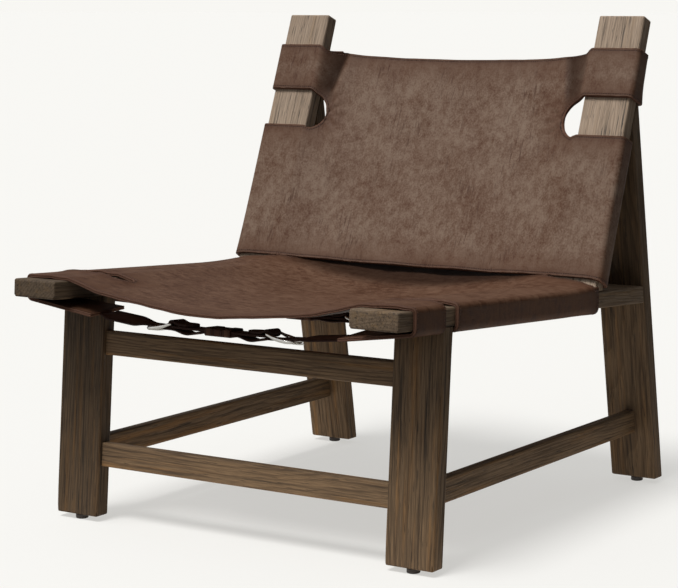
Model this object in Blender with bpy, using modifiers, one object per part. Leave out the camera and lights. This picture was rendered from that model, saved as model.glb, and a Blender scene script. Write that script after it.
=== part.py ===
"""Low leather sling lounge chair: a raked oak frame with a leather seat and a leather back,
each wrapped round its boards and drawn together out of sight by buckled straps.

Metres, +Z up, the chair faces -Y. The empty "chair" carries everything. Its own origin is
on the floor below the front edge of the front feet, and the world origin is on the floor
in the middle of the chair's footprint.
"""
import bpy
import bmesh
from math import atan2, cos, pi, radians, sin, tan
from mathutils import Euler, Matrix, Vector

# Frame: boards and battens
OVERALL_WIDTH = 0.700
BOARD_WIDTH = 0.082
BOARD_THICKNESS = 0.028
BATTEN_HEIGHT = 0.038
BATTEN_THICKNESS = 0.018
EDGE_RADIUS = 0.003
JOINT_EDGE_SHARE = 0.12
JOINT_GAP = 0.0003

FOOT_SPACING = 0.716
FRONT_LEG_RAKE = radians(4.75)
REAR_LEG_RAKE = radians(9.25)
RAIL_SLOPE = radians(3.75)
RAIL_NOSE_HEIGHT = 0.391
RAIL_OVERHANG = 0.0885
# From the post's foot to the rear leg along the top of the rail
POST_INSET = 0.1727
POST_LEAN = radians(21.4)
POST_LENGTH = 0.464

# The upper front batten hangs below the rails, the rear crossbars lie below and above their top
LOWER_BATTEN_RISE = 0.080
UPPER_BATTEN_DROP = 0.0544
FRONT_BATTEN_INSET = 0.0077
REAR_BATTEN_INSET = 0.005
REAR_LOWER_DROP = 0.003
REAR_UPPER_LIFT = 0.101

TENON_DEPTH = 0.016
TENON_ROOT = 0.010
TENON_SHOULDER = 0.004
BOARD_TENON_THICKNESS = 0.010
BOARD_TENON_WIDTH = 0.034

GLIDE_RADIUS = 0.010
GLIDE_HEIGHT = 0.008
GLIDE_EDGE = 0.0015
GLIDE_STEM_RADIUS = 0.002
GLIDE_STEM_LENGTH = 0.012
GLIDE_SIDES = 16

# Leather seat and back
LEATHER_THICKNESS = 0.004
LEATHER_GAP = 0.0003
SEAT_SETBACK = 0.030
SEAT_END_CLEARANCE = 0.0055
SEAT_SAG = 0.036
SEAT_SLOT_CLEARANCE = 0.0026
SEAT_SLOT_REACH = 0.040
SEAT_UNDER_SLACK = 0.003
SEAT_TAB_DROP = 0.0125
SEAT_MAIN_DROP = 0.002
SEAT_UNDER_RADIUS = 0.007
SEAT_FLAP_REACH = 0.043
SEAT_REAR_SAG = 0.010
SEAT_EASE_RUN = 0.300
SEAT_REAR_LIFT = 0.009
SEAT_LIFT_RUN = 0.160
SEAT_LIFT_EDGE_SHARE = 0.6
SEAT_TONGUE = 0.080
SEAT_TONGUE_CLEARANCE = 0.004
SEAT_SIDE_TRAIL = 0.011

BACK_BOTTOM = 0.0195
BACK_TOP = 0.406
BACK_TOP_DIP = 0.014
BACK_SAG_BOTTOM = 0.012
BACK_SAG_TOP = 0.030
BACK_LOW_POWER = 2.5
BACK_HIGH_POWER = 5.0
BACK_TOP_POWER = 4.0
BACK_CUT_LOW = 0.257
BACK_CUT_HIGH = 0.3225
BACK_FLAP_REACH = 0.025

# Buckled straps
STRAP_WIDTH = 0.030
BILLET_THICKNESS = 0.003
CENTRE_THICKNESS = 0.004
STRAP_POINT = 0.012
STRAP_TIP_SHARE = 0.3
BAR_OFFSET = 0.088
CENTRE_RETURN = 0.040
TAIL_END = 0.004
FLAP_LAP = 0.040
BILLET_TOE_REST = 0.005
BILLET_TAIL_REST = 0.008
RETURN_FALL = 0.014

BUCKLE_LENGTH = 0.044
BUCKLE_WIRE = 0.0022
BUCKLE_CURL = 0.009
BUCKLE_HEEL_RADIUS = 0.004
BUCKLE_TOE_RADIUS = 0.010
BUCKLE_SIDE_PLAY = 0.001
PRONG_WIRE = 0.0013
PRONG_CLEARANCE = 0.0004
PRONG_OVERHANG = 0.013
PRONG_TIP_LIFT = 0.0012
PRONG_SLOT_PLAY = 0.0008
PRONG_SLOT_REACH = 0.011

KEEPER_LENGTH = 0.014
KEEPER_THICKNESS = 0.002
SLEEVE_LENGTH = 0.018
LOOP_PLAY = 0.0004
LOOP_RADIUS = 0.001
SEWN_DEPTH = 0.0005

# How far the leather flaps lie above the bars of the buckles, at the front and out of sight
FRONT_STRAP_RISE = 0.0077
HIDDEN_STRAP_RISE = 0.0057
# Places of the hidden straps along the seat's main flap and up the back's main panel
SEAT_STRAP_SHARES = (0.31, 0.80)
BACK_STRAP_SHARE = 0.5

CUT_OVERRUN = 0.030
WELD_DISTANCE = 0.00001

# Colour, roughness and metallic value of each material
FINISHES = {
    "oak": ((0.105, 0.075, 0.048, 1.0), 0.62, 0.0),
    "seat_leather": ((0.085, 0.040, 0.026, 1.0), 0.58, 0.0),
    "back_leather": ((0.080, 0.036, 0.022, 1.0), 0.52, 0.0),
    "strap_leather": ((0.022, 0.010, 0.007, 1.0), 0.48, 0.0),
    "keeper_leather": ((0.070, 0.036, 0.022, 1.0), 0.50, 0.0),
    "polished_steel": ((0.62, 0.61, 0.58, 1.0), 0.18, 1.0),
    "glide_plastic": ((0.030, 0.022, 0.018, 1.0), 0.45, 0.0),
}

HALF_WIDTH = OVERALL_WIDTH / 2
BOARD_MIDDLE = HALF_WIDTH - BOARD_WIDTH / 2
INNER_FACE = HALF_WIDTH - BOARD_WIDTH
seat_flap_end = INNER_FACE - SEAT_FLAP_REACH
back_flap_end = INNER_FACE - BACK_FLAP_REACH
# Turns a flat outline drawn in X and Y into the side view, where they are the chair's Y and Z
SIDE_VIEW = (pi / 2, 0.0, pi / 2)
SIDES = (("left", -1), ("right", 1))
SHARP_ANGLE = radians(40)


# Scene helpers

def clear_scene():
    for thing in list(bpy.data.objects):
        bpy.data.objects.remove(thing, do_unlink=True)


def make_collection(name):
    group = bpy.data.collections.new(name)
    bpy.context.scene.collection.children.link(group)
    return group


def make_material(name, finish):
    colour, roughness, metallic = FINISHES[finish]
    material = bpy.data.materials.new(name)
    material.use_nodes = True
    shader = material.node_tree.nodes["Principled BSDF"]
    shader.inputs["Base Color"].default_value = colour
    shader.inputs["Roughness"].default_value = roughness
    shader.inputs["Metallic"].default_value = metallic
    material.diffuse_color = colour
    return material


def place(thing, parent, location=(0.0, 0.0, 0.0), turn=(0.0, 0.0, 0.0)):
    thing.parent = parent
    thing.location = location
    thing.rotation_euler = turn
    return thing


def make_empty(name, parent, location, turn=(0.0, 0.0, 0.0)):
    empty = bpy.data.objects.new(name, None)
    parts.objects.link(empty)
    return place(empty, parent, location, turn)


def make_piece(name, mesh, finish):
    """A sub-part of the chair, with a material of its own."""
    piece = bpy.data.objects.new(name, mesh)
    parts.objects.link(piece)
    mesh.materials.clear()
    mesh.materials.append(make_material(name + "_" + finish, finish))
    return piece


def make_cutter(name, mesh):
    """A guide shape for a Boolean, left out of the finished chair."""
    cutter = bpy.data.objects.new(name, mesh)
    cutters.objects.link(cutter)
    cutter.hide_render = True
    cutter.display_type = "WIRE"
    return cutter


def add_boolean(piece, operation, tool, solver="EXACT"):
    step = piece.modifiers.new(operation.lower(), "BOOLEAN")
    step.operation = operation
    step.solver = solver
    step.object = tool


def finished_mesh(holder):
    """What an object looks like with its modifiers, as a mesh of its own."""
    depsgraph = bpy.context.evaluated_depsgraph_get()
    mesh = bpy.data.meshes.new_from_object(holder.evaluated_get(depsgraph))
    bpy.data.objects.remove(holder)
    return mesh


def make_holder(data):
    """A passing object that carries a curve or a mesh while it takes shape."""
    holder = bpy.data.objects.new("holder", data)
    cutters.objects.link(holder)
    return holder


def combined(mesh, operation, tools, solver="EXACT"):
    """A mesh after Booleans with some (mesh, offset along X) tools, to be used several times."""
    holder = make_holder(mesh)
    made = []
    for tool, offset in tools:
        cutter = place(make_cutter("tool", tool), None, (offset, 0.0, 0.0))
        add_boolean(holder, operation, cutter, solver)
        made.append(cutter)
    solid = finished_mesh(holder)
    for cutter in made:
        bpy.data.objects.remove(cutter)
    return solid


def solid_from_curve(curve):
    """The closed mesh of a filled or bevelled curve, with its caps welded on."""
    mesh = finished_mesh(make_holder(curve))
    clean = bmesh.new()
    clean.from_mesh(mesh)
    bmesh.ops.remove_doubles(clean, verts=clean.verts, dist=WELD_DISTANCE)
    bmesh.ops.recalc_face_normals(clean, faces=clean.faces)
    clean.to_mesh(mesh)
    clean.free()
    return mesh


def poly_spline(curve, points, cyclic):
    spline = curve.splines.new("POLY")
    spline.points.add(len(points) - 1)
    for spot, point in zip(spline.points, points):
        spot.co = (*point, 1.0)
    spline.use_cyclic_u = cyclic


def outline_solid(outline, depth, hole=None):
    """A flat outline given depth, centred on its own plane, with an inner outline left open."""
    curve = bpy.data.curves.new("outline", "CURVE")
    curve.dimensions = "2D"
    curve.fill_mode = "BOTH"
    curve.extrude = depth / 2
    poly_spline(curve, [(across, up, 0.0) for across, up in outline], True)
    if hole:
        poly_spline(curve, [(across, up, 0.0) for across, up in hole], True)
    return solid_from_curve(curve)


def wire_solid(points, radius, cyclic):
    """A round wire bent along points."""
    curve = bpy.data.curves.new("wire", "CURVE")
    curve.dimensions = "3D"
    curve.bevel_depth = radius
    curve.bevel_resolution = 1
    curve.use_fill_caps = not cyclic
    poly_spline(curve, points, cyclic)
    mesh = solid_from_curve(curve)
    mesh.shade_smooth()
    return mesh


def block(length, depth, height):
    box = bmesh.new()
    bmesh.ops.create_cube(box, size=1.0)
    bmesh.ops.scale(box, vec=(length, depth, height), verts=box.verts)
    mesh = bpy.data.meshes.new("block")
    box.to_mesh(mesh)
    box.free()
    return mesh


def rod(radius, length, sides):
    """A cylinder along Z, centred on its middle."""
    cylinder = bmesh.new()
    bmesh.ops.create_cone(cylinder, cap_ends=True, segments=sides, radius1=radius, radius2=radius,
                          depth=length)
    mesh = bpy.data.meshes.new("rod")
    cylinder.to_mesh(mesh)
    cylinder.free()
    return mesh


# Geometry helpers for the side view, in which a point is (y, z)

def meet(point, heading, other_point, other_heading):
    """Where two straight lines cross."""
    across = heading.x * other_heading.y - heading.y * other_heading.x
    between = other_point - point
    step = (between.x * other_heading.y - between.y * other_heading.x) / across
    return point + step * heading


def strip(point, heading, start, end, half):
    """A rectangle along heading, from start to end and half its thickness to each side."""
    aside = Vector((heading.y, -heading.x)) * half
    near = point + heading * start
    far = point + heading * end
    return [near - aside, near + aside, far + aside, far - aside]


class Board:
    """The faces of a raked board in the side view: its front line and the line behind it."""

    def __init__(self, foot, heading, thickness=BOARD_THICKNESS):
        self.foot = foot
        self.heading = heading
        self.back = Vector((heading.y, -heading.x))
        self.thickness = thickness

    def line(self, depth):
        """A point on the line that lies depth behind the board's front face."""
        return self.foot + self.back * depth

    def at(self, along, depth):
        return self.line(depth) + self.heading * along

    def cross(self, depth, point, heading):
        return meet(self.line(depth), self.heading, point, heading)

    def along(self, depth, point, heading):
        """How far up the board the line at depth meets another line."""
        return (self.cross(depth, point, heading) - self.line(depth)).dot(self.heading)


FLOOR_HEADING = Vector((1.0, 0.0))
FLOOR_LINE = Vector((0.0, GLIDE_HEIGHT))
front_leg = Board(FLOOR_LINE, Vector((sin(FRONT_LEG_RAKE), cos(FRONT_LEG_RAKE))))
rear_leg = Board(FLOOR_LINE + FLOOR_HEADING * FOOT_SPACING,
                 Vector((-sin(REAR_LEG_RAKE), cos(REAR_LEG_RAKE))))
# The rail's "front face" here is its top, and it runs rearward
rail = Board(Vector((-RAIL_OVERHANG, RAIL_NOSE_HEIGHT)), Vector((cos(RAIL_SLOPE), -sin(RAIL_SLOPE))))
post_setback = rail.along(0.0, rear_leg.line(0.0), rear_leg.heading) - POST_INSET
post = Board(rail.at(post_setback, 0.0), Vector((sin(POST_LEAN), cos(POST_LEAN))))

SCARF_ANGLE = POST_LEAN + REAR_LEG_RAKE
SCARF_DEPTH = BOARD_THICKNESS + JOINT_GAP
rail_rear = rear_leg.cross(-JOINT_GAP, rail.line(0.0), rail.heading)
rail_rear_low = rear_leg.cross(-JOINT_GAP, rail.line(BOARD_THICKNESS), rail.heading)
leg_tip = rear_leg.cross(BOARD_THICKNESS, post.line(SCARF_DEPTH), post.heading)
rear_heel = rear_leg.cross(BOARD_THICKNESS, FLOOR_LINE, FLOOR_HEADING)
rail_nose_low = rail.line(BOARD_THICKNESS)
DEPTH_MIDDLE = (rail_nose_low.x + rear_heel.x) / 2


# Frame

PARALLEL_SHARE = 0.999


def weigh_edges(mesh, joint_faces):
    """Full rounding on open edges, and a light easing round a face that butts another board."""
    shape = bmesh.new()
    shape.from_mesh(mesh)
    weight = shape.edges.layers.float.new("bevel_weight_edge")
    for edge in shape.edges:
        edge[weight] = 1.0
    for face in shape.faces:
        middle = face.calc_center_median()
        for point, normal in joint_faces:
            level = abs((middle - point).dot(normal)) < WELD_DISTANCE
            if level and abs(face.normal.dot(normal)) > PARALLEL_SHARE:
                for edge in face.edges:
                    edge[weight] = JOINT_EDGE_SHARE
    shape.to_mesh(mesh)
    shape.free()


def round_edges(piece):
    bevel = piece.modifiers.new("rounding", "BEVEL")
    bevel.width = EDGE_RADIUS
    bevel.segments = 2
    bevel.limit_method = "WEIGHT"


def outline_sides(outline, numbers):
    """The point and normal of some sides of an outline, for weigh_edges."""
    found = []
    for number in numbers:
        start = outline[number]
        side = (outline[(number + 1) % len(outline)] - start).normalized()
        found.append((start.to_3d(), Vector((side.y, -side.x, 0.0))))
    return found


def make_board(name, outline, joint_sides, middle, width):
    """A board seen from the side, with the joint sides of its outline named by number."""
    mesh = outline_solid(outline, width)
    weigh_edges(mesh, outline_sides(outline, joint_sides))
    piece = make_piece(name, mesh, "oak")
    round_edges(piece)
    return place(piece, chair, (middle, 0.0, 0.0), SIDE_VIEW)


def side_joint(name, giver, taker, board, start, end, half, middle, width):
    """A tenon on one board and its mortise in another, both lying in the side view."""
    for operation, piece, spare in (("UNION", giver, 0.0), ("DIFFERENCE", taker, JOINT_GAP)):
        reach = spare if end > start else -spare
        outline = strip(board.foot, board.heading, start, end + reach, half + spare)
        tool = make_cutter(name + "_" + operation.lower(), outline_solid(outline, width + 2 * spare))
        place(tool, chair, (middle, 0.0, 0.0), SIDE_VIEW)
        add_boolean(piece, operation, tool)


def make_side_frame(side, sign):
    """One side of the frame: two legs, the seat rail, the back post and the side batten."""
    middle = sign * BOARD_MIDDLE
    under = rail.line(BOARD_THICKNESS + JOINT_GAP)
    outline = [front_leg.cross(0.0, FLOOR_LINE, FLOOR_HEADING),
               front_leg.cross(BOARD_THICKNESS, FLOOR_LINE, FLOOR_HEADING),
               front_leg.cross(BOARD_THICKNESS, under, rail.heading),
               front_leg.cross(0.0, under, rail.heading)]
    front = make_board("front_leg_" + side, outline, [2], middle, BOARD_WIDTH)

    scarf = post.line(SCARF_DEPTH)
    outline = [rear_leg.cross(0.0, FLOOR_LINE, FLOOR_HEADING),
               rear_leg.cross(BOARD_THICKNESS, FLOOR_LINE, FLOOR_HEADING),
               leg_tip,
               rear_leg.cross(0.0, scarf, post.heading)]
    rear = make_board("rear_leg_" + side, outline, [2], middle, BOARD_WIDTH)

    outline = [rail.line(BOARD_THICKNESS), rail_rear_low, rail_rear, rail.line(0.0)]
    seat_rail = make_board("seat_rail_" + side, outline, [1], middle, BOARD_WIDTH)

    seat = rail.line(-JOINT_GAP)
    outline = [post.cross(0.0, seat, rail.heading),
               post.cross(BOARD_THICKNESS, seat, rail.heading),
               post.at(POST_LENGTH, BOARD_THICKNESS),
               post.at(POST_LENGTH, 0.0)]
    back_post = make_board("back_post_" + side, outline, [0], middle, BOARD_WIDTH)

    outline = [front_leg.cross(BOARD_THICKNESS + JOINT_GAP, batten.line(BATTEN_HEIGHT), FLOOR_HEADING),
               rear_leg.cross(-JOINT_GAP, batten.line(BATTEN_HEIGHT), FLOOR_HEADING),
               rear_leg.cross(-JOINT_GAP, batten.line(0.0), FLOOR_HEADING),
               front_leg.cross(BOARD_THICKNESS + JOINT_GAP, batten.line(0.0), FLOOR_HEADING)]
    side_batten = make_board("side_stretcher_" + side, outline, [1, 3], middle, BATTEN_THICKNESS)

    half = BOARD_TENON_THICKNESS / 2
    core = Board(front_leg.line(BOARD_THICKNESS / 2), front_leg.heading)
    shoulder = core.along(0.0, under, rail.heading)
    side_joint("front_leg_tenon_" + side, front, seat_rail, core, shoulder - TENON_ROOT,
               shoulder + TENON_DEPTH, half, middle, BOARD_TENON_WIDTH)
    core = Board(rail.line(BOARD_THICKNESS / 2), rail.heading)
    shoulder = core.along(0.0, rear_leg.line(-JOINT_GAP), rear_leg.heading)
    side_joint("seat_rail_tenon_" + side, seat_rail, rear, core, shoulder - TENON_ROOT,
               shoulder + TENON_DEPTH, half, middle, BOARD_TENON_WIDTH)
    core = Board(post.line(BOARD_THICKNESS / 2), post.heading)
    shoulder = core.along(0.0, seat, rail.heading)
    side_joint("back_post_tenon_" + side, back_post, seat_rail, core, shoulder + TENON_ROOT,
               shoulder - TENON_DEPTH, half, middle, BOARD_TENON_WIDTH)

    core = Board(batten.line(BATTEN_HEIGHT / 2), batten.heading)
    half = BATTEN_HEIGHT / 2 - TENON_SHOULDER
    width = BATTEN_THICKNESS - 2 * TENON_SHOULDER
    shoulder = core.along(0.0, front_leg.line(BOARD_THICKNESS + JOINT_GAP), front_leg.heading)
    side_joint("side_front_tenon_" + side, side_batten, front, core, shoulder + TENON_ROOT,
               shoulder - TENON_DEPTH, half, middle, width)
    shoulder = core.along(0.0, rear_leg.line(-JOINT_GAP), rear_leg.heading)
    side_joint("side_rear_tenon_" + side, side_batten, rear, core, shoulder - TENON_ROOT,
               shoulder + TENON_DEPTH, half, middle, width)
    return front, rear


def make_cross_batten(name, leg, rise, inset, turn, legs):
    """A batten between two legs, with a tenon in the inner side of each."""
    mesh = block(2 * (INNER_FACE - JOINT_GAP), BATTEN_THICKNESS, BATTEN_HEIGHT)
    end = Vector((INNER_FACE - JOINT_GAP, 0.0, 0.0))
    across = Vector((1.0, 0.0, 0.0))
    weigh_edges(mesh, [(end, across), (-end, across)])
    piece = make_piece(name, mesh, "oak")
    round_edges(piece)
    spot = leg.at(rise + BATTEN_HEIGHT / 2, inset + BATTEN_THICKNESS / 2)
    place(piece, chair, (0.0, *spot), (turn, 0.0, 0.0))
    for operation, spare, takers in (("UNION", 0.0, [piece]), ("DIFFERENCE", JOINT_GAP, legs)):
        core = block(2 * (INNER_FACE + TENON_DEPTH + spare),
                     BATTEN_THICKNESS - 2 * (TENON_SHOULDER - spare),
                     BATTEN_HEIGHT - 2 * (TENON_SHOULDER - spare))
        tool = make_cutter(name + "_" + operation.lower(), core)
        place(tool, chair, (0.0, *spot), (turn, 0.0, 0.0))
        for taker in takers:
            add_boolean(taker, operation, tool)


def glide_spot(leg):
    """The middle of a foot's flat end, on the chair's own Y axis."""
    near = leg.cross(0.0, FLOOR_LINE, FLOOR_HEADING)
    far = leg.cross(BOARD_THICKNESS, FLOOR_LINE, FLOOR_HEADING)
    return (near.x + far.x) / 2


def turned_solid(profile, sides):
    """A profile at +X, top to bottom, turned round Z."""
    mesh = bpy.data.meshes.new("turned")
    chain = [(number, number + 1) for number in range(len(profile) - 1)]
    mesh.from_pydata([(radius, 0.0, height) for radius, height in profile], chain, [])
    holder = make_holder(mesh)
    screw = holder.modifiers.new("screw", "SCREW")
    screw.steps = sides
    screw.render_steps = sides
    screw.use_merge_vertices = True
    screw.merge_threshold = WELD_DISTANCE
    solid = finished_mesh(holder)
    solid.shade_smooth()
    solid.set_sharp_from_angle(angle=SHARP_ANGLE)
    return solid


def make_glides(feet):
    """Four round glides, each with a stem driven into its foot."""
    top = GLIDE_HEIGHT - JOINT_GAP
    stem_top = top + GLIDE_STEM_LENGTH
    profile = [(0.0, stem_top), (GLIDE_STEM_RADIUS, stem_top), (GLIDE_STEM_RADIUS, top),
               (GLIDE_RADIUS - GLIDE_EDGE, top), (GLIDE_RADIUS, top - GLIDE_EDGE),
               (GLIDE_RADIUS, GLIDE_EDGE), (GLIDE_RADIUS - GLIDE_EDGE, 0.0), (0.0, 0.0)]
    one = turned_solid(profile, GLIDE_SIDES)
    hole = rod(GLIDE_STEM_RADIUS + JOINT_GAP, 2 * (GLIDE_STEM_LENGTH + JOINT_GAP), GLIDE_SIDES)
    for name, leg, piece, sign in feet:
        spot = Vector((sign * BOARD_MIDDLE, glide_spot(leg), 0.0))
        place(make_piece("glide_" + name, one.copy(), "glide_plastic"), chair, spot)
        tool = make_cutter("glide_hole_" + name, hole)
        place(tool, chair, spot + Vector((0.0, 0.0, GLIDE_HEIGHT)))
        add_boolean(piece, "DIFFERENCE", tool)


# Leather

def sheet_grid(columns, rows, spot):
    """A grid primitive whose corner (column, row) is moved to spot(column, row)."""
    shape = bmesh.new()
    bmesh.ops.create_grid(shape, x_segments=columns - 1, y_segments=rows - 1, size=0.5)
    for corner in shape.verts:
        column = round((corner.co.x + 0.5) * (columns - 1))
        row = round((corner.co.y + 0.5) * (rows - 1))
        corner.co = spot(column, row)
    mesh = bpy.data.meshes.new("sheet")
    shape.to_mesh(mesh)
    shape.free()
    mesh.shade_smooth()
    return mesh


def thicken(piece, thickness):
    shell = piece.modifiers.new("thickness", "SOLIDIFY")
    shell.thickness = thickness
    shell.offset = 0.0
    shell.use_even_offset = True


def arc(centre_x, centre_y, radius, start, end, steps):
    """Points of a round corner, with its angles in degrees."""
    turns = [radians(start + (end - start) * step / steps) for step in range(steps + 1)]
    return [(centre_x + radius * cos(turn), centre_y + radius * sin(turn)) for turn in turns]


def both_halves(half):
    """A path from the middle outward, carried on to the other side."""
    return [(-across, level) for across, level in reversed(half[1:])] + half


LEATHER_MIDDLE = LEATHER_GAP + LEATHER_THICKNESS / 2
SPAN_STEPS = 8
CORNER_STEPS = 4

slot_front = rail.along(BOARD_THICKNESS, front_leg.line(0.0), front_leg.heading) - SEAT_SLOT_CLEARANCE
slot_rear = (rail.along(BOARD_THICKNESS, front_leg.line(BOARD_THICKNESS), front_leg.heading)
             + SEAT_SLOT_CLEARANCE)
seat_end = post_setback - SEAT_END_CLEARANCE
seat_tongue_half = back_flap_end - SEAT_TONGUE_CLEARANCE
TAB_ROWS = 2
MAIN_ROW_SHARES = (0.0, 0.36, 0.64, 0.84, 1.0)


def late_share(along, run):
    """Nought until this far before the seat's rear end, then growing as a square to 1 there."""
    return max((along - seat_end) / run + 1, 0.0) ** 2


def seat_path(along, drop):
    """The seat's middle surface from its middle out, over the rail and back beneath it. Toward
    the posts it hangs less, and it stands off the rail."""
    sag = SEAT_SAG + (SEAT_REAR_SAG - SEAT_SAG) * min(late_share(along, SEAT_EASE_RUN), 1.0)
    lift = SEAT_REAR_LIFT * late_share(along, SEAT_LIFT_RUN)
    half = []
    for step in range(SPAN_STEPS + 1):
        share = step / SPAN_STEPS
        half.append((INNER_FACE * share, LEATHER_MIDDLE + lift - sag * (1 - share ** 2)))
    half += arc(HALF_WIDTH - EDGE_RADIUS, lift * SEAT_LIFT_EDGE_SHARE - EDGE_RADIUS,
                EDGE_RADIUS + LEATHER_MIDDLE, 90, 0, CORNER_STEPS)
    low = -(BOARD_THICKNESS + SEAT_UNDER_SLACK) - LEATHER_MIDDLE
    half += arc(HALF_WIDTH + LEATHER_MIDDLE - SEAT_UNDER_RADIUS, low + SEAT_UNDER_RADIUS,
                SEAT_UNDER_RADIUS, 0, -90, CORNER_STEPS)
    half.append((seat_flap_end, low - drop))
    return both_halves(half)


def seat_tools():
    """What is cut from the seat's sheet on the right, as names, outlines and levels. Behind its
    rear end the sheet runs on between the posts as a tongue, and outside them as two sides."""
    radius = (slot_rear - slot_front) / 2
    centre = (slot_front + slot_rear) / 2
    inner = INNER_FACE - SEAT_SLOT_REACH + radius
    outer = HALF_WIDTH + CUT_OVERRUN
    slot = arc(inner, centre, radius, 90, 270, 6) + [(outer, slot_front), (outer, slot_rear)]
    # Below the sheet the flaps are parted all the way to their ends
    inner = seat_flap_end - LEATHER_THICKNESS
    near = slot_front - LEATHER_GAP / 2
    far = slot_rear + LEATHER_GAP / 2
    parting_end = INNER_FACE - LEATHER_THICKNESS
    parting = [(inner, near), (parting_end, near), (parting_end, far), (inner, far)]
    trail = seat_end + SEAT_SIDE_TRAIL
    beyond = seat_end + SEAT_TONGUE + CUT_OVERRUN
    beside = HALF_WIDTH + 2 * LEATHER_GAP
    notch = [(seat_tongue_half, seat_end), (beside, seat_end), (beside, trail), (outer, trail),
             (outer, beyond), (seat_tongue_half, beyond)]
    flap_end = trail - LEATHER_GAP / 2
    heel = [(inner, flap_end), (outer, flap_end), (outer, beyond), (inner, beyond)]
    height = BOARD_THICKNESS + 2 * CUT_OVERRUN
    middle = -BOARD_THICKNESS / 2
    overlap = BOARD_THICKNESS / 4
    return height, (("slot", slot, CUT_OVERRUN), ("parting", parting, middle),
                    ("notch", notch, height + middle - overlap), ("heel", heel, middle))


def make_seat_sling():
    rows = []
    # The rows beside the slot lie inside it, so that it takes away all that twists between them
    tab_end = slot_front + LEATHER_GAP
    for step in range(TAB_ROWS):
        rows.append((SEAT_SETBACK + (tab_end - SEAT_SETBACK) * step / (TAB_ROWS - 1), SEAT_TAB_DROP))
    main_start = slot_rear - LEATHER_GAP
    # The last main row lies off the notches' faces, between the sheet's end and its sides' ends
    main_end = seat_end + SEAT_SIDE_TRAIL / 2
    for share in MAIN_ROW_SHARES:
        rows.append((main_start + (main_end - main_start) * share, SEAT_MAIN_DROP))
    rows.append((seat_end + SEAT_TONGUE, SEAT_MAIN_DROP))
    paths = [seat_path(along, drop) for along, drop in rows]

    def spot(column, row):
        across, level = paths[row][column]
        return (across, rows[row][0], level)

    sling = make_piece("seat_sling", sheet_grid(len(paths[0]), len(rows), spot), "seat_leather")
    thicken(sling, LEATHER_THICKNESS)
    height, tools = seat_tools()
    for side, sign in SIDES:
        for name, outline, top in tools:
            mesh = outline_solid([(sign * across, along) for across, along in outline], height)
            tool = make_cutter("seat_" + name + "_" + side, mesh)
            place(tool, rail_empty, (0.0, 0.0, top - height / 2))
            add_boolean(sling, "DIFFERENCE", tool)
    return place(sling, rail_empty)


tip_along = (leg_tip - post.foot).dot(post.heading)
tip_bulge = (tip_along - BACK_CUT_HIGH) * tan(SCARF_ANGLE) + LEATHER_GAP
cut_middle = (BACK_CUT_LOW + BACK_CUT_HIGH) / 2
BACK_ROWS = 10


def strap_bulge(along):
    """How far the top strap stands off the posts behind, where it passes over the leg tips."""
    if along < cut_middle:
        return 0.0
    return tip_bulge * (BACK_TOP - along) / (BACK_TOP - BACK_CUT_HIGH)


def back_path(along):
    """The back's middle surface at one height, as (across, depth behind the posts' front)."""
    rise = (along - BACK_BOTTOM) / (BACK_TOP - BACK_BOTTOM)
    sag = BACK_SAG_BOTTOM + (BACK_SAG_TOP - BACK_SAG_BOTTOM) * rise
    power = BACK_LOW_POWER + (BACK_HIGH_POWER - BACK_LOW_POWER) * rise
    half = []
    for step in range(SPAN_STEPS + 1):
        share = step / SPAN_STEPS
        half.append((INNER_FACE * share, sag * (1 - share ** power) - LEATHER_MIDDLE))
    corner = HALF_WIDTH - EDGE_RADIUS
    radius = EDGE_RADIUS + LEATHER_MIDDLE
    half += arc(corner, EDGE_RADIUS, radius, -90, 0, CORNER_STEPS)
    bulge = strap_bulge(along)
    half += arc(corner, BOARD_THICKNESS - EDGE_RADIUS + bulge, radius, 0, 90, CORNER_STEPS)
    half.append((back_flap_end, BOARD_THICKNESS + LEATHER_MIDDLE + bulge))
    return both_halves(half)


def make_back_sling():
    columns = len(back_path(BACK_BOTTOM))

    def spot(column, row):
        along = BACK_BOTTOM + (BACK_TOP - BACK_BOTTOM) * row / (BACK_ROWS - 1)
        across, depth = back_path(along)[column]
        between = min(abs(across) / INNER_FACE, 1.0)
        dip = BACK_TOP_DIP * (1 - between ** BACK_TOP_POWER) * row / (BACK_ROWS - 1)
        return (across, depth, along - dip)

    sling = make_piece("back_sling", sheet_grid(columns, BACK_ROWS, spot), "back_leather")
    thicken(sling, LEATHER_THICKNESS)
    radius = (BACK_CUT_HIGH - BACK_CUT_LOW) / 2
    outer = HALF_WIDTH + CUT_OVERRUN
    outline = arc(INNER_FACE, cut_middle, radius, 90, 270, 8)
    outline += [(outer, BACK_CUT_LOW), (outer, BACK_CUT_HIGH)]
    for side, sign in SIDES:
        mesh = outline_solid([(sign * across, along) for across, along in outline],
                             BOARD_THICKNESS + 2 * CUT_OVERRUN)
        tool = make_cutter("back_cut_out_" + side, mesh)
        place(tool, post_empty, (0.0, BOARD_THICKNESS / 2, 0.0), (pi / 2, 0.0, 0.0))
        add_boolean(sling, "DIFFERENCE", tool)
    return place(sling, post_empty)


# Buckled straps. Seen from the side, a set runs outward from its middle, and its levels count
# toward the sitter from the middle of the buckles' bars.

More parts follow.
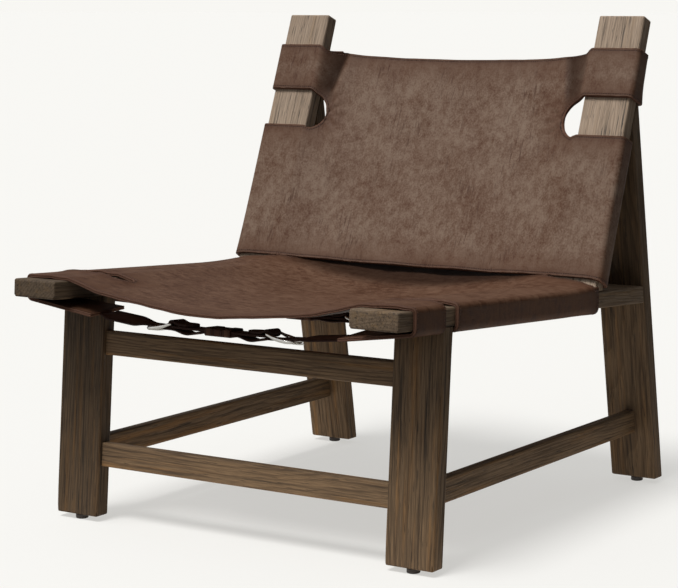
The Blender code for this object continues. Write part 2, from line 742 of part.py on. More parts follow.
MAIN_LEVEL = -(BUCKLE_WIRE + LEATHER_GAP + CENTRE_THICKNESS / 2)
RETURN_LEVEL = MAIN_LEVEL + CENTRE_THICKNESS + LEATHER_GAP
TAIL_LEVEL = MAIN_LEVEL - CENTRE_THICKNESS / 2 - LEATHER_GAP - BILLET_THICKNESS / 2
TOE_LEVEL = BUCKLE_WIRE + LEATHER_GAP + BILLET_THICKNESS / 2 - BUCKLE_CURL
PRONG_EYE = BUCKLE_WIRE + PRONG_CLEARANCE + PRONG_WIRE
PRONG_TOE_LEVEL = -(BUCKLE_CURL + BUCKLE_WIRE + LEATHER_GAP + PRONG_WIRE)
PRONG_SLOT_HALF = PRONG_WIRE + PRONG_SLOT_PLAY
KEEPER_OFFSET = SLEEVE_LENGTH / 2 + JOINT_GAP + KEEPER_LENGTH / 2
TURNS = (("left", pi), ("right", 0.0))


def curl(reach):
    """How far a buckle has dropped at a distance outward from its bar, as a share."""
    return 1 - (1 - reach / BUCKLE_LENGTH) ** 2


def ease(share):
    """A share that leaves zero and reaches one without a kink."""
    share = min(max(share, 0.0), 1.0)
    return share * share * (3 - 2 * share)


def billet_level(reach):
    """The billet's middle where it dives from the buckle's toe to under the centre strap."""
    toe = BUCKLE_LENGTH - BILLET_TOE_REST
    share = (reach - BILLET_TAIL_REST) / (toe - BILLET_TAIL_REST)
    return TAIL_LEVEL + (TOE_LEVEL - TAIL_LEVEL) * ease(share)


def prong_level(reach):
    return -PRONG_EYE + (PRONG_TOE_LEVEL + PRONG_EYE) * curl(reach)


def oblong(start, end, half):
    """A slot with round ends along the strap."""
    return arc(start + half, 0.0, half, 90, 270, 3) + arc(end - half, 0.0, half, -90, 90, 3)


def strap_sheet(path, tips):
    """A strap along a path of points, narrowed to a blunt point at the numbers in tips."""
    def spot(column, row):
        half = STRAP_WIDTH / 2 * (STRAP_TIP_SHARE if column in tips else 1)
        across, level = path[column]
        return (across, half * (2 * row - 1), level)

    return sheet_grid(len(path), 2, spot)


def cut_sheet(mesh, thickness, slots):
    """A sheet with its thickness and its slots."""
    holder = make_holder(mesh)
    thicken(holder, thickness)
    tools = [(outline_solid(slot, 2 * CUT_OVERRUN), 0.0) for slot in slots]
    return combined(finished_mesh(holder), "DIFFERENCE", tools)


def centre_strap_mesh():
    """The doubled strap between two buckles, folded back round the bar of each."""
    bend = -MAIN_LEVEL
    half = [(0.0, MAIN_LEVEL), (BAR_OFFSET / 2, MAIN_LEVEL)]
    half += arc(BAR_OFFSET, 0.0, bend, -90, 90, 6)
    for step in range(1, 4):
        share = step / 3
        half.append((BAR_OFFSET - RETURN_FALL * share, bend + (RETURN_LEVEL - bend) * ease(share)))
    half.append((BAR_OFFSET - CENTRE_RETURN + STRAP_POINT, RETURN_LEVEL))
    half.append((BAR_OFFSET - CENTRE_RETURN, RETURN_LEVEL))
    path = both_halves(half)
    inner = BAR_OFFSET - PRONG_SLOT_REACH
    outer = BAR_OFFSET + CUT_OVERRUN
    slots = [oblong(inner, outer, PRONG_SLOT_HALF), oblong(-outer, -inner, PRONG_SLOT_HALF)]
    return cut_sheet(strap_sheet(path, (0, len(path) - 1)), CENTRE_THICKNESS, slots)


def billet_mesh(flap_end, rise, slope):
    """The strap from under a flap, over the buckle's toe and down to the keepers."""
    path = [(TAIL_END, TAIL_LEVEL), (TAIL_END + STRAP_POINT, TAIL_LEVEL)]
    dive = BUCKLE_LENGTH - BILLET_TOE_REST - BILLET_TAIL_REST
    for step in range(7):
        reach = BILLET_TAIL_REST + dive * step / 6
        path.append((BAR_OFFSET + reach, billet_level(reach)))
    path.append((BAR_OFFSET + BUCKLE_LENGTH + BUCKLE_WIRE, TOE_LEVEL))
    end_level = rise - LEATHER_THICKNESS / 2 - LEATHER_GAP - BILLET_THICKNESS / 2
    path.append((flap_end, end_level))
    path.append((flap_end + FLAP_LAP, end_level + slope * FLAP_LAP))

    room = PRONG_WIRE + PRONG_CLEARANCE + BILLET_THICKNESS / 2
    reaches = [BUCKLE_LENGTH * step / 100 for step in range(101)]
    crossed = [reach for reach in reaches if abs(prong_level(reach) - billet_level(reach)) < room]
    slot = oblong(BAR_OFFSET + crossed[0] - PRONG_CLEARANCE,
                  BAR_OFFSET + crossed[-1] + PRONG_CLEARANCE, PRONG_SLOT_HALF)
    return cut_sheet(strap_sheet(path, (0,)), BILLET_THICKNESS, [slot])


def buckle_mesh():
    """A round wire frame that curls up from its toe to its bar, with the bar at the origin."""
    half = STRAP_WIDTH / 2 + BUCKLE_SIDE_PLAY + BUCKLE_WIRE
    heel = BUCKLE_HEEL_RADIUS
    toe = BUCKLE_TOE_RADIUS
    side = [heel + (BUCKLE_LENGTH - toe - heel) * share / 3 for share in (1, 2)]
    outline = [(reach, -half) for reach in side]
    outline += arc(BUCKLE_LENGTH - toe, toe - half, toe, -90, 0, 4)
    outline += arc(BUCKLE_LENGTH - toe, half - toe, toe, 0, 90, 4)
    outline += [(reach, half) for reach in reversed(side)]
    outline += arc(heel, half - heel, heel, 90, 180, 3)
    outline += arc(heel, heel - half, heel, 180, 270, 3)
    points = [(reach, across, -BUCKLE_CURL * curl(reach)) for reach, across in outline]
    return wire_solid(points, BUCKLE_WIRE, True)


def prong_mesh():
    """A prong whose eye goes round the bar at the origin and whose tip passes the toe."""
    points = [(reach, 0.0, level) for reach, level in arc(0.0, 0.0, PRONG_EYE, -20, 270, 10)]
    for step in range(1, 7):
        reach = BUCKLE_LENGTH * step / 6
        points.append((reach, 0.0, prong_level(reach)))
    for share in (0.5, 1.0):
        points.append((BUCKLE_LENGTH + PRONG_OVERHANG * share, 0.0,
                       PRONG_TOE_LEVEL + PRONG_TIP_LIFT * share ** 2))
    return wire_solid(points, PRONG_WIRE, False)


def band_mesh(length, play):
    """A band round the centre strap and the billet's tail, with its play over the strap."""
    low = TAIL_LEVEL - BILLET_THICKNESS / 2 - LOOP_PLAY
    high = MAIN_LEVEL + CENTRE_THICKNESS / 2 + play
    half = STRAP_WIDTH / 2 + LOOP_PLAY

    right = half - LOOP_RADIUS
    top = high - LOOP_RADIUS
    bottom = low + LOOP_RADIUS

    def ring(radius):
        return (arc(right, top, radius, 0, 90, 2) + arc(-right, top, radius, 90, 180, 2)
                + arc(-right, bottom, radius, 180, 270, 2) + arc(right, bottom, radius, 270, 360, 2))

    band = outline_solid(ring(LOOP_RADIUS + KEEPER_THICKNESS), length, ring(LOOP_RADIUS))
    band.transform(Euler(SIDE_VIEW).to_matrix().to_4x4())
    return band


def make_strap_set(name, empty, centre, billet, keeper=None):
    """Two buckles on a centre strap, each taking a billet from its own side."""
    place(make_piece(name + "_centre_strap", centre.copy(), "strap_leather"), empty)
    pieces = [("_billet_", billet, 0.0, "strap_leather"),
              ("_buckle_", frame_mesh, BAR_OFFSET, "polished_steel"),
              ("_prong_", tongue_mesh, BAR_OFFSET, "polished_steel")]
    if keeper:
        pieces.append(("_keeper_", keeper, KEEPER_OFFSET, "keeper_leather"))
    for side, turn in TURNS:
        for kind, mesh, offset, finish in pieces:
            piece = make_piece(name + kind + side, mesh.copy(), finish)
            place(piece, empty, (cos(turn) * offset, 0.0, 0.0), (0.0, 0.0, turn))


# The chair

clear_scene()
parts = make_collection("lounge_chair")
cutters = make_collection("cutters")
chair = make_empty("chair", None, (0.0, -DEPTH_MIDDLE, 0.0))
rail_empty = make_empty("along_rails", chair, (0.0, *rail.foot), (-RAIL_SLOPE, 0.0, 0.0))
post_empty = make_empty("along_posts", chair, (0.0, *post.foot), (-POST_LEAN, 0.0, 0.0))

batten_top = front_leg.at(LOWER_BATTEN_RISE + BATTEN_HEIGHT, FRONT_BATTEN_INSET)
batten = Board(Vector((0.0, batten_top.y)), FLOOR_HEADING)
rail_under = front_leg.along(0.0, rail.line(BOARD_THICKNESS), rail.heading)
upper_batten_rise = rail_under - UPPER_BATTEN_DROP - BATTEN_HEIGHT
rail_top = rear_leg.along(REAR_BATTEN_INSET, rail.line(0.0), rail.heading)
rear_lower_rise = rail_top - REAR_LOWER_DROP - BATTEN_HEIGHT
rear_upper_rise = rail_top + REAR_UPPER_LIFT
feet = []
front_legs = []
rear_legs = []
for side, sign in SIDES:
    front, rear = make_side_frame(side, sign)
    front_legs.append(front)
    rear_legs.append(rear)
    feet += [("front_" + side, front_leg, front, sign), ("rear_" + side, rear_leg, rear, sign)]
for name, rise in (("front_stretcher_lower", LOWER_BATTEN_RISE),
                   ("front_stretcher_upper", upper_batten_rise)):
    make_cross_batten(name, front_leg, rise, FRONT_BATTEN_INSET, -FRONT_LEG_RAKE, front_legs)
for name, rise in (("rear_crossbar_lower", rear_lower_rise), ("rear_crossbar_upper", rear_upper_rise)):
    make_cross_batten(name, rear_leg, rise, REAR_BATTEN_INSET, REAR_LEG_RAKE, rear_legs)
make_glides(feet)
make_seat_sling()
make_back_sling()

frame_mesh = buckle_mesh()
tongue_mesh = prong_mesh()
centre_mesh = centre_strap_mesh()
# Out of sight the keepers and the sleeve are sewn to the centre strap and belong to its solid.
# The exact solver drops the slotted strap from this union, the manifold one keeps it.
sewn_keeper = band_mesh(KEEPER_LENGTH, -SEWN_DEPTH)
sewn_sleeve = band_mesh(SLEEVE_LENGTH, -SEWN_DEPTH)
bands = [(sewn_keeper, -KEEPER_OFFSET), (sewn_sleeve, 0.0), (sewn_keeper, KEEPER_OFFSET)]
sewn_mesh = combined(centre_mesh.copy(), "UNION", bands, "MANIFOLD")

# The seat's flaps fall away toward their ends, by this much for each length inward
seat_flap_run = HALF_WIDTH + LEATHER_MIDDLE - SEAT_UNDER_RADIUS - seat_flap_end
seat_flap_level = -(BOARD_THICKNESS + SEAT_UNDER_SLACK) - LEATHER_MIDDLE
tab_middle = (SEAT_SETBACK + slot_front) / 2
level = seat_flap_level - SEAT_TAB_DROP - FRONT_STRAP_RISE
spot = make_empty("front_straps", rail_empty, (0.0, tab_middle, level))
front_billet = billet_mesh(seat_flap_end, FRONT_STRAP_RISE, SEAT_TAB_DROP / seat_flap_run)
make_strap_set("front", spot, centre_mesh, front_billet, band_mesh(KEEPER_LENGTH, LOOP_PLAY))
sleeve = make_piece("front_centre_sleeve", band_mesh(SLEEVE_LENGTH, LOOP_PLAY), "strap_leather")
place(sleeve, spot)

seat_billet = billet_mesh(seat_flap_end, HIDDEN_STRAP_RISE, SEAT_MAIN_DROP / seat_flap_run)
level = seat_flap_level - SEAT_MAIN_DROP - HIDDEN_STRAP_RISE
for name, share in zip(("seat_mid", "seat_rear"), SEAT_STRAP_SHARES):
    along = slot_rear + (seat_end - slot_rear) * share
    spot = make_empty(name + "_straps", rail_empty, (0.0, along, level))
    make_strap_set(name, spot, sewn_mesh, seat_billet)

back_billet = billet_mesh(back_flap_end, HIDDEN_STRAP_RISE, 0.0)
depth = BOARD_THICKNESS + LEATHER_MIDDLE + HIDDEN_STRAP_RISE
along = BACK_BOTTOM + (BACK_CUT_LOW - BACK_BOTTOM) * BACK_STRAP_SHARE
spot = make_empty("back_main_straps", post_empty, (0.0, depth, along), (pi / 2, 0.0, 0.0))
make_strap_set("back_main", spot, sewn_mesh, back_billet)

# The top set lies on flaps that lean over the tips of the rear legs
along = (BACK_CUT_HIGH + BACK_TOP) / 2
tilt = atan2(tip_bulge, BACK_TOP - BACK_CUT_HIGH)
outward = Vector((0.0, cos(tilt), sin(tilt))) * HIDDEN_STRAP_RISE
spot = Vector((0.0, BOARD_THICKNESS + LEATHER_MIDDLE + strap_bulge(along), along)) + outward
spot = make_empty("back_top_straps", post_empty, spot, (pi / 2 + tilt, 0.0, 0.0))
make_strap_set("back_top", spot, sewn_mesh, back_billet)
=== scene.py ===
"""Looks of the leather sling lounge chair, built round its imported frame.

Metres, +Z up, the chair faces -Y. Every new piece is a surface worked out with numpy:
a leather sheet on a grid, a strap or wire as a profile carried along a path, or a turned profile.
"""
from math import cos, pi, radians, sin

import bpy
import numpy as np
from mathutils import Matrix, Vector


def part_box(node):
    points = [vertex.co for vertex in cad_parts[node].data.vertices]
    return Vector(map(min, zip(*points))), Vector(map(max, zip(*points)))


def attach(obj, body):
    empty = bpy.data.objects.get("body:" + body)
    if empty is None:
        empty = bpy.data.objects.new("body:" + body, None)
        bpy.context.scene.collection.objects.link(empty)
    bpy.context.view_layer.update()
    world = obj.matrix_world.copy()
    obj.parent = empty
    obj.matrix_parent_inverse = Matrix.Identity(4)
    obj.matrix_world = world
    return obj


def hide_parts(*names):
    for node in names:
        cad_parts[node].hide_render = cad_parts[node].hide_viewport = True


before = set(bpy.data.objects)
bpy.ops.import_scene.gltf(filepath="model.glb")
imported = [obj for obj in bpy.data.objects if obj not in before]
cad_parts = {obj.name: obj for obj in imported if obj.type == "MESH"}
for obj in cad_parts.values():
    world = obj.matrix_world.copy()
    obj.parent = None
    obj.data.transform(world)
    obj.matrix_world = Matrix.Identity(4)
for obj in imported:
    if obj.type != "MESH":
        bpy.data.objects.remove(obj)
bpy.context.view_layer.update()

# Boards and battens
HALF_WIDTH = 0.350
INNER_FACE = 0.268
BOARD_THICKNESS = 0.028
EDGE_RADIUS = 0.003
RAIL_FOOT = (-0.415519, 0.391)
RAIL_SLOPE = radians(3.75)
POST_FOOT = (0.162283, 0.353129)
POST_LEAN = radians(21.4)
FRONT_RAKE = radians(4.75)
REAR_RAKE = radians(9.25)

# Leather of both sheets: its two layers, the upper one a little thicker than the lower one, the
# room between it and a board, its middle's distance from a board, its edge and its seam
HALF_LEATHER = 0.002
THICKER = 0.0016
GAP = 0.0003
MIDDLE = GAP + HALF_LEATHER
LIP = HALF_LEATHER / 2
GROOVE = 0.0003
SEAM = 0.0045
# The closest spacing of a sheet's rows and columns, next to its edges
FINE = 0.0009
# Where the flaps end, outward from the middle
SEAT_FLAP_END, BACK_FLAP_END = 0.225, 0.243

# Seat, measured along the rail and outward from the middle. A slot or cut is given by its lower
# and its upper side and by how near its end comes to the middle
SEAT_FRONT, SEAT_END = 0.030, 0.57354
SLOT = (SLOT_FRONT, SLOT_REAR, SLOT_END) = (0.11684, 0.15005, 0.228)
SEAT_SAG = 0.036
SEAT_LOW = -(BOARD_THICKNESS + 0.003) - MIDDLE
TAB_DROP, MAIN_DROP, TAB_TILT = 0.0125, 0.002, 0.0040
UNDER_RADIUS = 0.007
REAR_SAG, EASE_RUN = 0.022, 0.300
REAR_LIFT, LIFT_RUN, LIFT_EDGE_SHARE = 0.015, 0.120, 0.3
TONGUE, TONGUE_HALF, HEEL = 0.080, 0.239, 0.011
SIDE_TRAIL, SIDE_STATION = 0.011, 0.352

# Back, measured along the post and outward from the middle
BACK_LOW, BACK_TOP = 0.0195, 0.406
CUT = (CUT_LOW, CUT_HIGH, CUT_END) = (0.257, 0.3225, 0.23525)
TIP_BULGE = 0.0089
FOLD_DEPTH = 0.0085
CORNER_FLARE = 0.0050

# Buckled straps: their half width and half thicknesses, the bar's place along the set, the radii
# of the buckle's and the prong's wire, and the buckle's length and the drop of its curl
STRAP_HALF = 0.015
CENTRE_HALF, BILLET_HALF = 0.002, 0.0015
BAR = 0.088
WIRE, PRONG = 0.0022, 0.0013
BUCKLE, CURL = 0.044, 0.009
# Levels in a set: the centre strap, its folded end, the billet's tail and the billet on the toe
MAIN_LEVEL = -(WIRE + GAP + CENTRE_HALF)
RETURN_LEVEL = MAIN_LEVEL + 2 * CENTRE_HALF + GAP
TAIL_LEVEL = MAIN_LEVEL - CENTRE_HALF - GAP - BILLET_HALF
TOE_LEVEL = WIRE + GAP + BILLET_HALF - CURL
# The radius of the prong's eye, the level of its tongue on the toe, and the bands round the straps
PRONG_EYE = WIRE + 0.0004 + PRONG
PRONG_TOE = -(CURL + WIRE + GAP + PRONG)
KEEPER_HALF, SLEEVE_HALF = 0.007, 0.009
KEEPER_OFFSET = SLEEVE_HALF + GAP + KEEPER_HALF
BAND_HALF = 0.001
# Name, middle between the bars as (y, z), lean of the set, and the flap's end, level and fall
SETS = (
    ("front", (-0.345755, 0.332813), -RAIL_SLOPE, SEAT_FLAP_END, 0.0077, 0.1040),
    ("seat_mid", (-0.137474, 0.331688), -RAIL_SLOPE, SEAT_FLAP_END, 0.0057, 0.0166),
    ("seat_rear", (0.069595, 0.318116), -RAIL_SLOPE, SEAT_FLAP_END, 0.0057, 0.0166),
    ("back_main", (0.246245, 0.468712), radians(68.6), BACK_FLAP_END, 0.0057, 0.0),
    ("back_top", (0.333109, 0.678064), radians(74.78), BACK_FLAP_END, 0.0057, 0.0),
)


# Shapes

def smooth(share):
    """Zero below 0, one above 1, and an S between them."""
    share = np.clip(share, 0.0, 1.0)
    return share * share * (3 - 2 * share)


def unit(vectors):
    """Vectors made one long."""
    return vectors / np.maximum(np.linalg.norm(vectors, axis=-1, keepdims=True), 1e-12)


def noise(u, v, seed):
    """Soft random hills of height -1 to 1: values on whole numbers, eased between them."""
    table = np.random.default_rng(seed).uniform(-1, 1, (64, 64))
    i, j = np.floor(u).astype(int), np.floor(v).astype(int)
    a, b = smooth(u - i), smooth(v - j)

    def pick(di, dj):
        return table[(i + di) % 64, (j + dj) % 64]

    low = pick(0, 0) * (1 - a) + pick(1, 0) * a
    high = pick(0, 1) * (1 - a) + pick(1, 1) * a
    return low * (1 - b) + high * b


def in_frame(across, depth, height, foot, turn):
    """Points (across, depth, height) of a frame that stands at foot, turned round X, in the world."""
    y = foot[0] + depth * cos(turn) - height * sin(turn)
    z = foot[1] + depth * sin(turn) + height * cos(turn)
    return np.stack(np.broadcast_arrays(across, y, z), axis=-1)


def arc(centre, radius, start, end, steps=8):
    """Points of a round corner, its angles in degrees, as an array of (across, level)."""
    turn = np.radians(np.linspace(start, end, steps + 1))
    return np.stack([centre[0] + radius * np.cos(turn), centre[1] + radius * np.sin(turn)], axis=-1)


def lengths_along(points):
    """Each point's distance from the start, measured along the polyline."""
    return np.concatenate([[0], np.cumsum(np.linalg.norm(np.diff(points, axis=0), axis=1))])


def along_line(points, distance, values=None):
    """What a polyline's points, or the values at them, are at these distances from its start."""
    columns = (points if values is None else values).T
    return np.stack([np.interp(distance, lengths_along(points), column) for column in columns], axis=-1)


def line_length(points):
    """A polyline's whole length."""
    return float(np.sum(np.linalg.norm(np.diff(points, axis=0), axis=1)))


def make(name, points, quads, material, body, slot_name, caps=(), edge=None, uv=None, painted_shade=None):
    """A smooth piece from its points and faces that rides on a body. The attribute "edge" holds
    each point's distance from an edge, a second attribute the painted shade that darkens its leather
    in a fold or below the back, and the UV map its flat place."""
    mesh = bpy.data.meshes.new(name)
    faces = [tuple(face) for face in quads.tolist()] + [tuple(face) for face in caps]
    mesh.from_pydata(points.reshape(-1, 3).tolist(), [], faces)
    values = np.full(len(mesh.vertices), 0.01) if edge is None else edge
    mesh.attributes.new("edge", "FLOAT", "POINT").data.foreach_set("value", values.ravel())
    if painted_shade is not None:
        mesh.attributes.new("painted_shade", "FLOAT", "POINT").data.foreach_set("value", painted_shade.ravel())
    if uv is not None:
        corners = np.zeros(len(mesh.loops), int)
        mesh.loops.foreach_get("vertex_index", corners)
        mesh.uv_layers.new(name="flat").data.foreach_set("uv", uv.reshape(-1, 2)[corners].ravel())
    mesh.shade_smooth()
    mesh.materials.append(material)
    piece = bpy.data.objects.new(name, mesh)
    bpy.context.scene.collection.objects.link(piece)
    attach(piece, body)
    return piece


def grid_faces(rows, columns, closed=False):
    """Faces of a grid of rows and columns, whose last column meets the first if it is closed."""
    number = np.arange(rows * columns).reshape(rows, columns)
    if closed:
        number = np.concatenate([number, number[:, :1]], axis=1)
    return np.stack([number[:-1, :-1], number[:-1, 1:], number[1:, 1:], number[1:, :-1]],
                    axis=-1).reshape(-1, 4)


def end_caps(rows, columns):
    """The two faces that close a tube at its first and its last ring."""
    last = (rows - 1) * columns
    return tuple(range(columns - 1, -1, -1)), tuple(range(last, last + columns))


def carried(path, profile, side, ring=False, widths=None):
    """A closed profile (across, up) carried along a path: each point is the path's point plus
    across times the side direction and up times the direction square to side and path. widths
    scale the profile's two measures at each point, and a ring's path meets its own start."""
    if ring:
        around = np.roll(path, -1, axis=0) - np.roll(path, 1, axis=0)
    else:
        around = np.gradient(path, axis=0)
    heading = unit(around)
    side = np.broadcast_to(side, path.shape)
    side = unit(side - heading * np.sum(side * heading, axis=1, keepdims=True))
    up = np.cross(heading, side)
    wide = np.ones((len(path), 2)) if widths is None else widths
    points = (path[:, None] + side[:, None] * (profile[None, :, :1] * wide[:, None, :1])
              + up[:, None] * (profile[None, :, 1:] * wide[:, None, 1:]))
    rows, columns = points.shape[:2]
    if ring:
        return points, grid_faces(rows + 1, columns, True) % (rows * columns), ()
    return points, grid_faces(rows, columns, True), end_caps(rows, columns)


def round_profile(radius, sides=14):
    """A circle, as (across, up)."""
    turn = np.linspace(0, 2 * pi, sides, endpoint=False)
    return np.stack([radius * np.cos(turn), radius * np.sin(turn)], axis=-1)


def strap_profile(half, thick, groove=0.0):
    """A flat strap's section with rounded edges, drawn in by a groove between its two layers."""
    corner = min(thick * 0.8, 0.0014)
    across = np.linspace(-half + corner, half - corner, 9)
    right = arc((half - corner, thick - corner), corner, 90, 0, 4)[1:]
    edge = np.concatenate([right, [(half - groove, 0.0)], (right * (1, -1))[::-1]])
    top = np.stack([across, np.full(9, thick)], axis=-1)
    profile = np.concatenate([top, edge, (top * (1, -1))[::-1], (edge * (-1, 1))[::-1]])
    return profile[::-1]


def turned(profile, centre, sides=40):
    """A profile (radius, height) turned round an upright line through centre, given as (x, y)."""
    turn = np.linspace(0, 2 * pi, sides, endpoint=False)
    radius, height = profile[:, :1], profile[:, 1:]
    points = np.stack(np.broadcast_arrays(
        centre[0] + radius * np.cos(turn), centre[1] + radius * np.sin(turn), height), axis=-1)
    rows, columns = points.shape[:2]
    return points, grid_faces(rows, columns, True), end_caps(rows, columns)


def stitches(name, path, normals, material, slot_name, pitch=0.0042, length=0.0031, radius=0.00042):
    """Short round threads end to end along a path, each a small six-sided spindle that stands
    half out of the leather."""
    count = int(line_length(path) / pitch)
    places = (np.arange(count) + 0.5) * line_length(path) / count
    centre = along_line(path, places)
    heading = unit(along_line(path, places + pitch / 4) - along_line(path, places - pitch / 4))
    up = unit(along_line(path, places, normals))
    side = np.cross(up, heading)
    reach = np.array([-0.5, -0.38, 0.0, 0.38, 0.5]) * length
    girth = np.array([0.15, 0.8, 1.0, 0.8, 0.15]) * radius
    turn = np.linspace(0, 2 * pi, 6, endpoint=False)
    points = (centre[:, None, None] + heading[:, None, None] * reach[None, :, None, None]
              + side[:, None, None] * (girth[:, None] * np.cos(turn))[None, :, :, None]
              + up[:, None, None] * (girth[:, None] * np.sin(turn))[None, :, :, None])
    first = 30 * np.arange(count)[:, None]
    quads = (grid_faces(5, 6, True) + first[..., None]).reshape(-1, 4)
    caps = np.concatenate([np.array(cap) + first for cap in end_caps(5, 6)])
    return make(name, points, quads, material, "frame", slot_name, caps.tolist())


# Leather sheets

def spaced(start, end, step):
    """Places from start to end, close together next to both ends."""
    near = np.array([0, 1, 2, 3.2, 4.6, 6.2, 8.5]) * FINE
    count = max(int((end - start) / step), 2)
    middle = np.linspace(start + near[-1] + step / 2, end - near[-1] - step / 2, count)
    return np.concatenate([start + near, middle, end - near[::-1]])


def notched_grid(front, rear, notch, outer, step, at=None):
    """Rows and columns of a sheet with a round-ended notch in each side: outside the notch's
    rows the columns run straight out, inside them they end on the notch's half circle. front and
    rear are the rows before and behind it, and outer the columns beyond it. at is a place that one
    column is moved to."""
    notch_low, notch_high, notch_end = notch
    radius = (notch_high - notch_low) / 2
    centre = (notch_high + notch_low) / 2
    shoulder = notch_end + radius
    rows = np.concatenate([front[:-1], centre - radius * np.cos(np.linspace(0, pi, 19)), rear[1:]])
    inside = (rows > notch_low + 1e-6) & (rows < notch_high - 1e-6)
    dip = np.where(inside, radius - np.sqrt(np.maximum(radius ** 2 - (rows - centre) ** 2, 0)), 0)
    end = np.where(inside, notch_end + dip, shoulder)
    # Columns crowd together toward the notch's end
    crowd = 1 - np.array([9, 7, 5.2, 3.8, 2.6, 1.6, 0.8, 0]) * 0.0145
    half = np.concatenate([np.linspace(0, 0.86, int(shoulder / step)), crowd])
    if at:
        half[np.argmin(np.abs(half * shoulder - at))] = at / shoulder
    inner = np.where(half < 0.8, half * shoulder,
                     0.8 * shoulder + (half - 0.8) / 0.2 * (end[:, None] - 0.8 * shoulder))
    outer = np.concatenate([shoulder + np.array([1.0, 2.2, 3.6, 5.4]) * FINE, outer])
    right = np.concatenate([inner, np.broadcast_to(outer, (len(rows), len(outer)))], axis=1)
    across = np.concatenate([-right[:, :0:-1], right], axis=1)
    return across, np.broadcast_to(rows[:, None], across.shape)


def round_notch(notch, inset):
    """The notch's inner end as a half circle, from its front side to its rear side."""
    radius = (notch[1] - notch[0]) / 2
    return arc((notch[2] + radius, (notch[0] + notch[1]) / 2), radius + inset, 270, 90, 18)


def seat_outline(inset=0.0):
    """Half of the seat's cut shape, from the middle of its front edge to that of its rear edge, as
    (across, along), drawn in by inset. Behind, a tongue runs on between the posts, and the sides
    trail a little outside them."""
    far, trail, tongue = SEAT_REACH - inset, SEAT_END + SIDE_TRAIL - inset, SEAT_END + TONGUE - inset
    side, heel, middle = SIDE_STATION + inset, INNER_FACE - 0.0015 - inset, TONGUE_HALF - inset
    return np.concatenate([
        [(0, SEAT_FRONT + inset), (far, SEAT_FRONT + inset), (far, SLOT[0] - inset)],
        round_notch(SLOT, inset),
        [(far, SLOT[1] + inset), (far, trail), (side, trail), (side, SEAT_END - inset),
         (heel, SEAT_END - inset), (heel, SEAT_END + HEEL - inset), (middle, SEAT_END + HEEL - inset),
         (middle, tongue), (0, tongue)]])


def back_outline(inset=0.0):
    """Half of the back's cut shape, from the middle of its lower edge to that of its upper one."""
    far = BACK_REACH - inset
    return np.concatenate([
        [(0, BACK_LOW + inset), (far, BACK_LOW + inset), (far, CUT[0] - inset)],
        round_notch(CUT, inset), [(far, CUT[1] + inset), (far, BACK_TOP - inset), (0, BACK_TOP - inset)]])


def distance_to(line, across, along):
    """Each place's distance from the nearest piece of a half outline."""
    place = np.stack([np.abs(across), along], axis=-1)[..., None, :]
    start, run = line[:-1], np.diff(line, axis=0)
    share = np.clip(np.sum((place - start) * run, axis=-1) / np.sum(run * run, axis=-1), 0, 1)
    return np.min(np.linalg.norm(place - start - share[..., None] * run, axis=-1), axis=-1)


def within(line, across, along):
    """Whether each place lies inside a half outline, by the crossings of a line drawn outward."""
    x, y = np.abs(across)[..., None], along[..., None]
    (x0, y0), (x1, y1) = line[:-1].T, line[1:].T
    crosses = (y0 > y) != (y1 > y)
    reach = x0 + (y - y0) / np.where(y1 == y0, 1, y1 - y0) * (x1 - x0)
    return np.sum(crosses & (x < reach), axis=-1) % 2 == 1


def whole_grid(grid, outline):
    """The grid's places, which of its faces have their middle inside the outline, and each
    place's distance from it."""
    across, along = grid

    def middle(values):
        return (values[:-1, :-1] + values[1:, :-1] + values[:-1, 1:] + values[1:, 1:]) / 4

    kept = within(outline, middle(across), middle(along))
    return across, along, kept, distance_to(outline, across, along)


def point_normals(flat, quads):
    """Each point's normal, the sum of its kept faces' normals, so a notch's rim leans on nothing
    that is cut away."""
    corner = flat[quads]
    facing = unit(np.cross(corner[:, 2] - corner[:, 0], corner[:, 3] - corner[:, 1]))
    sums = np.zeros_like(flat)
    for number in range(4):
        np.add.at(sums, quads[:, number], facing)
    return unit(sums)


def rim_sides(quads, count):
    """The start and end points of the sides that belong to one face only."""
    starts, ends = quads.reshape(-1), np.roll(quads, -1, axis=1).reshape(-1)
    alone = ~np.isin(starts * count + ends, ends * count + starts)
    return starts[alone], ends[alone]


def edge_section():
    """A sheet's edge from its upper to its lower face, as (outward, upward): one half ellipse for
    each layer, with a groove between them."""
    turn = np.linspace(pi / 2, -pi / 2, 7)
    half_turn = np.stack([np.cos(turn), np.sin(turn)], axis=-1)
    upper = (HALF_LEATHER + THICKER) / 2
    section = np.concatenate([half_turn * (LIP, upper) + (0, upper), (half_turn * LIP)[1:] - (0, LIP)])
    section[6, 0] = -GROOVE
    return section


